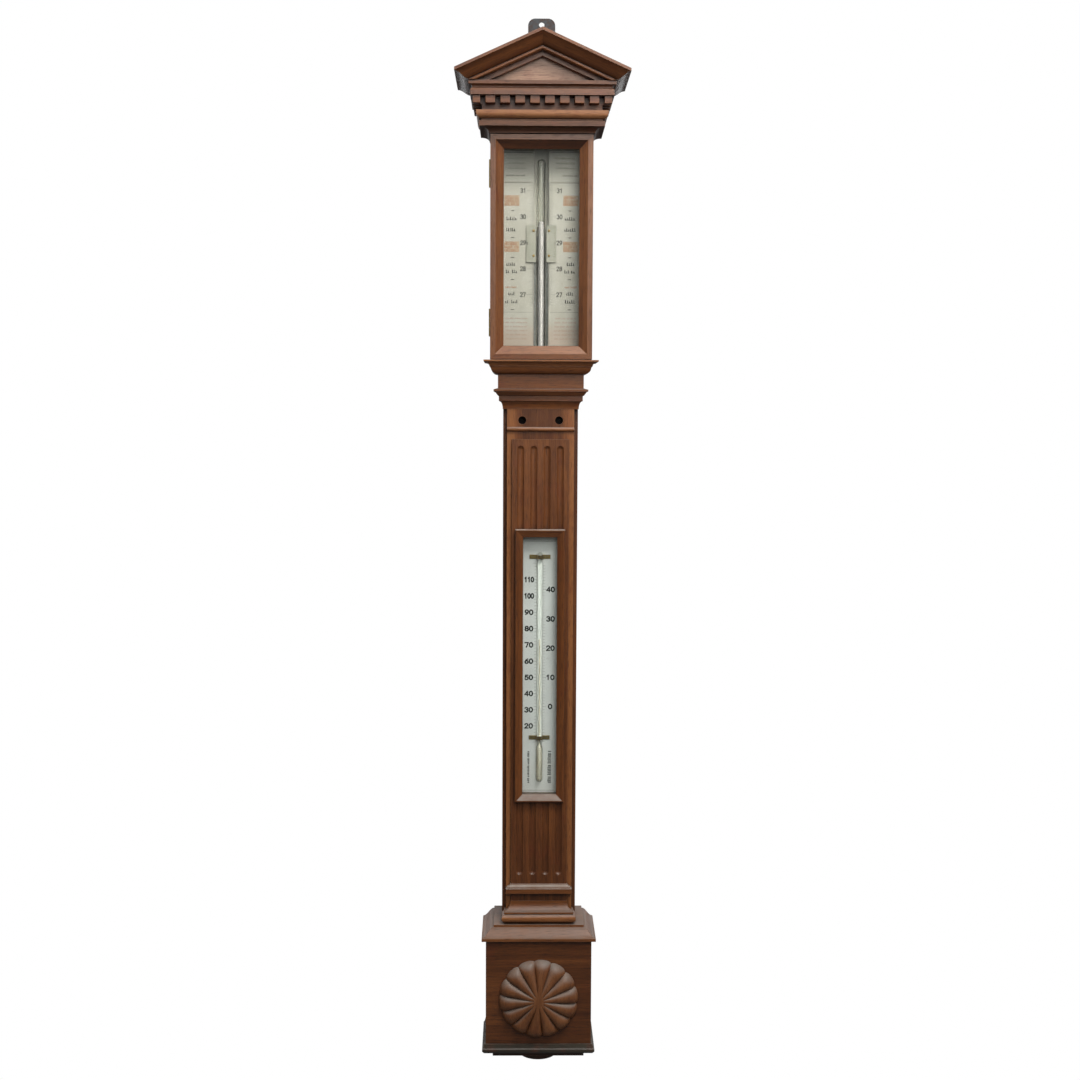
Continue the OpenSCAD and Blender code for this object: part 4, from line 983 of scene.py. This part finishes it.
# Sections of the thermometer's filling, in millimetres above the foot of its tube.
ENAMEL_HALF, ENAMEL_FOOT, ENAMEL_TOP, ENAMEL_THICK = 1.3, 42.0, 230.0, 0.25
# The enamel lies this far behind the axis of the tube.
ENAMEL_BEHIND = 1.0
BULB_PROFILE = ((0.0, 1.5), (1.1, 1.8), (1.75, 2.8), (2.05, 4.4), (2.05, 33.0), (1.3, 37.0), (0.45, 40.0),
                (0.45, 144.5), (0.3, 145.2), (0.0, 145.4))


def fill_thermometer():
    """The enamel strip behind the bore, the mercury thread and the mercury of the bulb."""
    low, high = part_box("thermometer_tube")
    axis = -(low.y + high.y) / 2 / MM
    foot = low.z / MM + Z_HOLE
    strip = Print(axis - ENAMEL_BEHIND, ENAMEL_THICK)
    strip.bar(-ENAMEL_HALF, ENAMEL_HALF, foot + ENAMEL_FOOT, foot + ENAMEL_TOP)
    strip.build("thermometer_enamel", ENAMEL, "case", "thermometer_plate")
    lathe("thermometer_mercury", BULB_PROFILE, (0.0, axis, foot), BULB, "case")


# Share of the rim's radius, share of the depth and depth of the folds in millimetres.
POUCH_PROFILE = ((1.0, 0.0, 0.0), (0.998, 0.10, 0.1), (0.99, 0.25, 0.5), (0.98, 0.45, 0.9),
                 (0.965, 0.65, 1.1), (0.92, 0.82, 1.0), (0.82, 0.94, 0.6), (0.68, 1.0, 0.15),
                 (0.40, 1.0, 0.0))


def sew_pouch():
    """The cistern's leather pouch, in folds."""
    low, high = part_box("leather_bag")
    axis = -(low.y + high.y) / 2 / MM
    top, depth = high.z / MM + Z_HOLE, (high.z - low.z) / MM
    rim = (high.x - low.x) / 2 / MM
    folds, around, travel = 14, 84, 8.0
    bm = bmesh.new()
    rows = []
    for share, down, fold in POUCH_PROFILE:
        row = []
        for k in range(around):
            a = 2 * math.pi * k / around
            r = rim * share - fold * (0.5 + 0.5 * math.cos(folds * a + 0.6 * math.sin(3 * a)))
            row.append(bm.verts.new(at(r * math.cos(a), axis - r * math.sin(a), top - depth * down)))
        rows.append(row)
    for a, b in zip(rows, rows[1:]):
        for k in range(around):
            n = (k + 1) % around
            bm.faces.new((a[k], a[n], b[n], b[k]))
    bm.faces.new(rows[0])
    bm.faces.new(rows[-1])
    pouch = from_bmesh("leather_pouch", bm, MATERIALS["leather_bag"], "case", smooth=True)
    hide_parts("leather_bag")
    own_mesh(pouch)


print_register()
print_thermometer()
line_channel()
dress_vernier(-1, "left")
dress_vernier(1, "right")
fill_thermometer()
sew_pouch()

# Light of the studio by direction: overhead, from the sides, from behind and all round.
SKY, SIDES, BEHIND, AMBIENT = 0.40, 0.20, 1.3, 0.02


FLOOR_SIZE, FLOOR_DROP, FLOOR_BEHIND = 40, 0.16, 8
WARM, COOL, WHITE = (1.0, 0.985, 0.96), (0.95, 0.98, 1.0), (1.0, 1.0, 1.0)


def lay_floor():
    """A floor that reads as white to the camera and as mid grey to the light."""
    place = (0, FLOOR_BEHIND, CAD_BOX[0][2] - FLOOR_DROP)
    bpy.ops.mesh.primitive_plane_add(size=FLOOR_SIZE, location=place)
    floor = bpy.context.object
    floor.name = "floor"
    t = Tree("pale_floor")
    cloud = t.noise(t.coords(), 0.6, 2.0)
    matt = t.add("BsdfDiffuse")
    t.put(matt, "Color", t.mix(cloud, (0.15, 0.15, 0.15), (0.17, 0.17, 0.17)))
    glow = t.add("Emission", Strength=1.0)
    both = t.add("MixShader")
    t.put(both, "0", t.add("LightPath").outputs["Is Camera Ray"])
    t.put(both, "1", matt)
    t.put(both, "2", glow)
    floor.data.materials.append(t.finish(both))


def light_world():
    """White for the camera; for the light, brightness by direction."""
    world = bpy.data.worlds.new("studio")
    bpy.context.scene.world = world
    world.use_nodes = True
    nt = world.node_tree
    nt.nodes.clear()

    def node(kind, **values):
        n = nt.nodes.new("ShaderNode" + kind)
        for k, v in values.items():
            setattr(n, k, v)
        return n

    def ranged(socket, lo, hi, top):
        n = node("MapRange", interpolation_type="SMOOTHSTEP")
        nt.links.new(socket, n.inputs[0])
        for i, v in enumerate((lo, hi, 0.0, top)):
            n.inputs[i + 1].default_value = v
        return n.outputs[0]

    def plus(a, b):
        n = node("Math", operation="ADD")
        nt.links.new(a, n.inputs[0])
        if isinstance(b, float):
            n.inputs[1].default_value = b
        else:
            nt.links.new(b, n.inputs[1])
        return n.outputs[0]

    way = node("SeparateXYZ")
    nt.links.new(node("TexCoord").outputs["Generated"], way.inputs[0])
    across = node("Math", operation="ABSOLUTE")
    nt.links.new(way.outputs[0], across.inputs[0])
    above = ranged(way.outputs[2], 0.05, 0.95, SKY)
    beside = ranged(across.outputs[0], 0.55, 1.0, SIDES)
    level_z = node("Math", operation="ABSOLUTE")
    nt.links.new(way.outputs[2], level_z.inputs[0])
    behind = node("Math", operation="MULTIPLY")
    nt.links.new(ranged(way.outputs[1], 0.1, 0.9, BEHIND), behind.inputs[0])
    nt.links.new(ranged(level_z.outputs[0], 0.6, 0.2, 1.0), behind.inputs[1])
    level = plus(plus(plus(above, beside), behind.outputs[0]), AMBIENT)
    out = node("OutputWorld")
    seen = node("Background")
    seen.inputs[0].default_value = (*WHITE, 1)
    lit = node("Background")
    lit.inputs[0].default_value = (*COOL, 1)
    nt.links.new(level, lit.inputs[1])
    mix = node("MixShader")
    nt.links.new(node("LightPath").outputs["Is Camera Ray"], mix.inputs[0])
    nt.links.new(lit.outputs[0], mix.inputs[1])
    nt.links.new(seen.outputs[0], mix.inputs[2])
    nt.links.new(mix.outputs[0], out.inputs[0])


def lamp(name, size, power, place, aim, colour):
    data = bpy.data.lights.new(name, "AREA")
    data.shape = "RECTANGLE"
    data.size, data.size_y = size
    data.energy = power
    data.color = colour
    obj = bpy.data.objects.new(name, data)
    bpy.context.scene.collection.objects.link(obj)
    obj.location = place
    obj.rotation_euler = (Vector(aim) - Vector(place)).to_track_quat("-Z", "Y").to_euler()


def lights():
    lamp("key", (0.6, 0.5), 16, (0.40, -0.80, 0.75), (0, -0.05, -0.30), WARM)
    lamp("front", (0.9, 0.7), 7, (0.30, -1.20, 0.15), (0, -0.05, -0.15), WARM)
    lamp("fill", (1.2, 1.6), 2.0, (-1.6, -1.5, 0.5), (0, -0.05, -0.35), COOL)
    lamp("sky", (2.0, 1.2), 4, (0.1, -0.45, 1.2), (0, -0.1, -0.4), COOL)


# The photograph's camera: focal length in pixels of the picture's width, place and angles in degrees.
SENSOR, FOCAL_PX, PICTURE_PX = 36.0, 1504.0, 1080.0
EYE = (-0.022, -1.5383, -0.389)
YAW, DIP, ROLL = -0.84, 4.7, 0.25


def camera():
    data = bpy.data.cameras.new("camera")
    data.sensor_width = SENSOR
    data.sensor_fit = "HORIZONTAL"
    data.lens = SENSOR * FOCAL_PX / PICTURE_PX
    data.clip_start = 0.05
    obj = bpy.data.objects.new("camera", data)
    bpy.context.scene.collection.objects.link(obj)
    obj.location = EYE
    turn = Matrix.Rotation(math.radians(YAW), 4, "Z")
    tilt = Matrix.Rotation(math.radians(90 - DIP), 4, "X")
    roll = Matrix.Rotation(math.radians(ROLL), 4, "Z")
    obj.rotation_euler = (turn @ tilt @ roll).to_euler()
    bpy.context.scene.camera = obj


lay_floor()
light_world()
lights()
camera()
bpy.context.scene.view_settings.view_transform = "Standard"

bpy.context.view_layer.update()
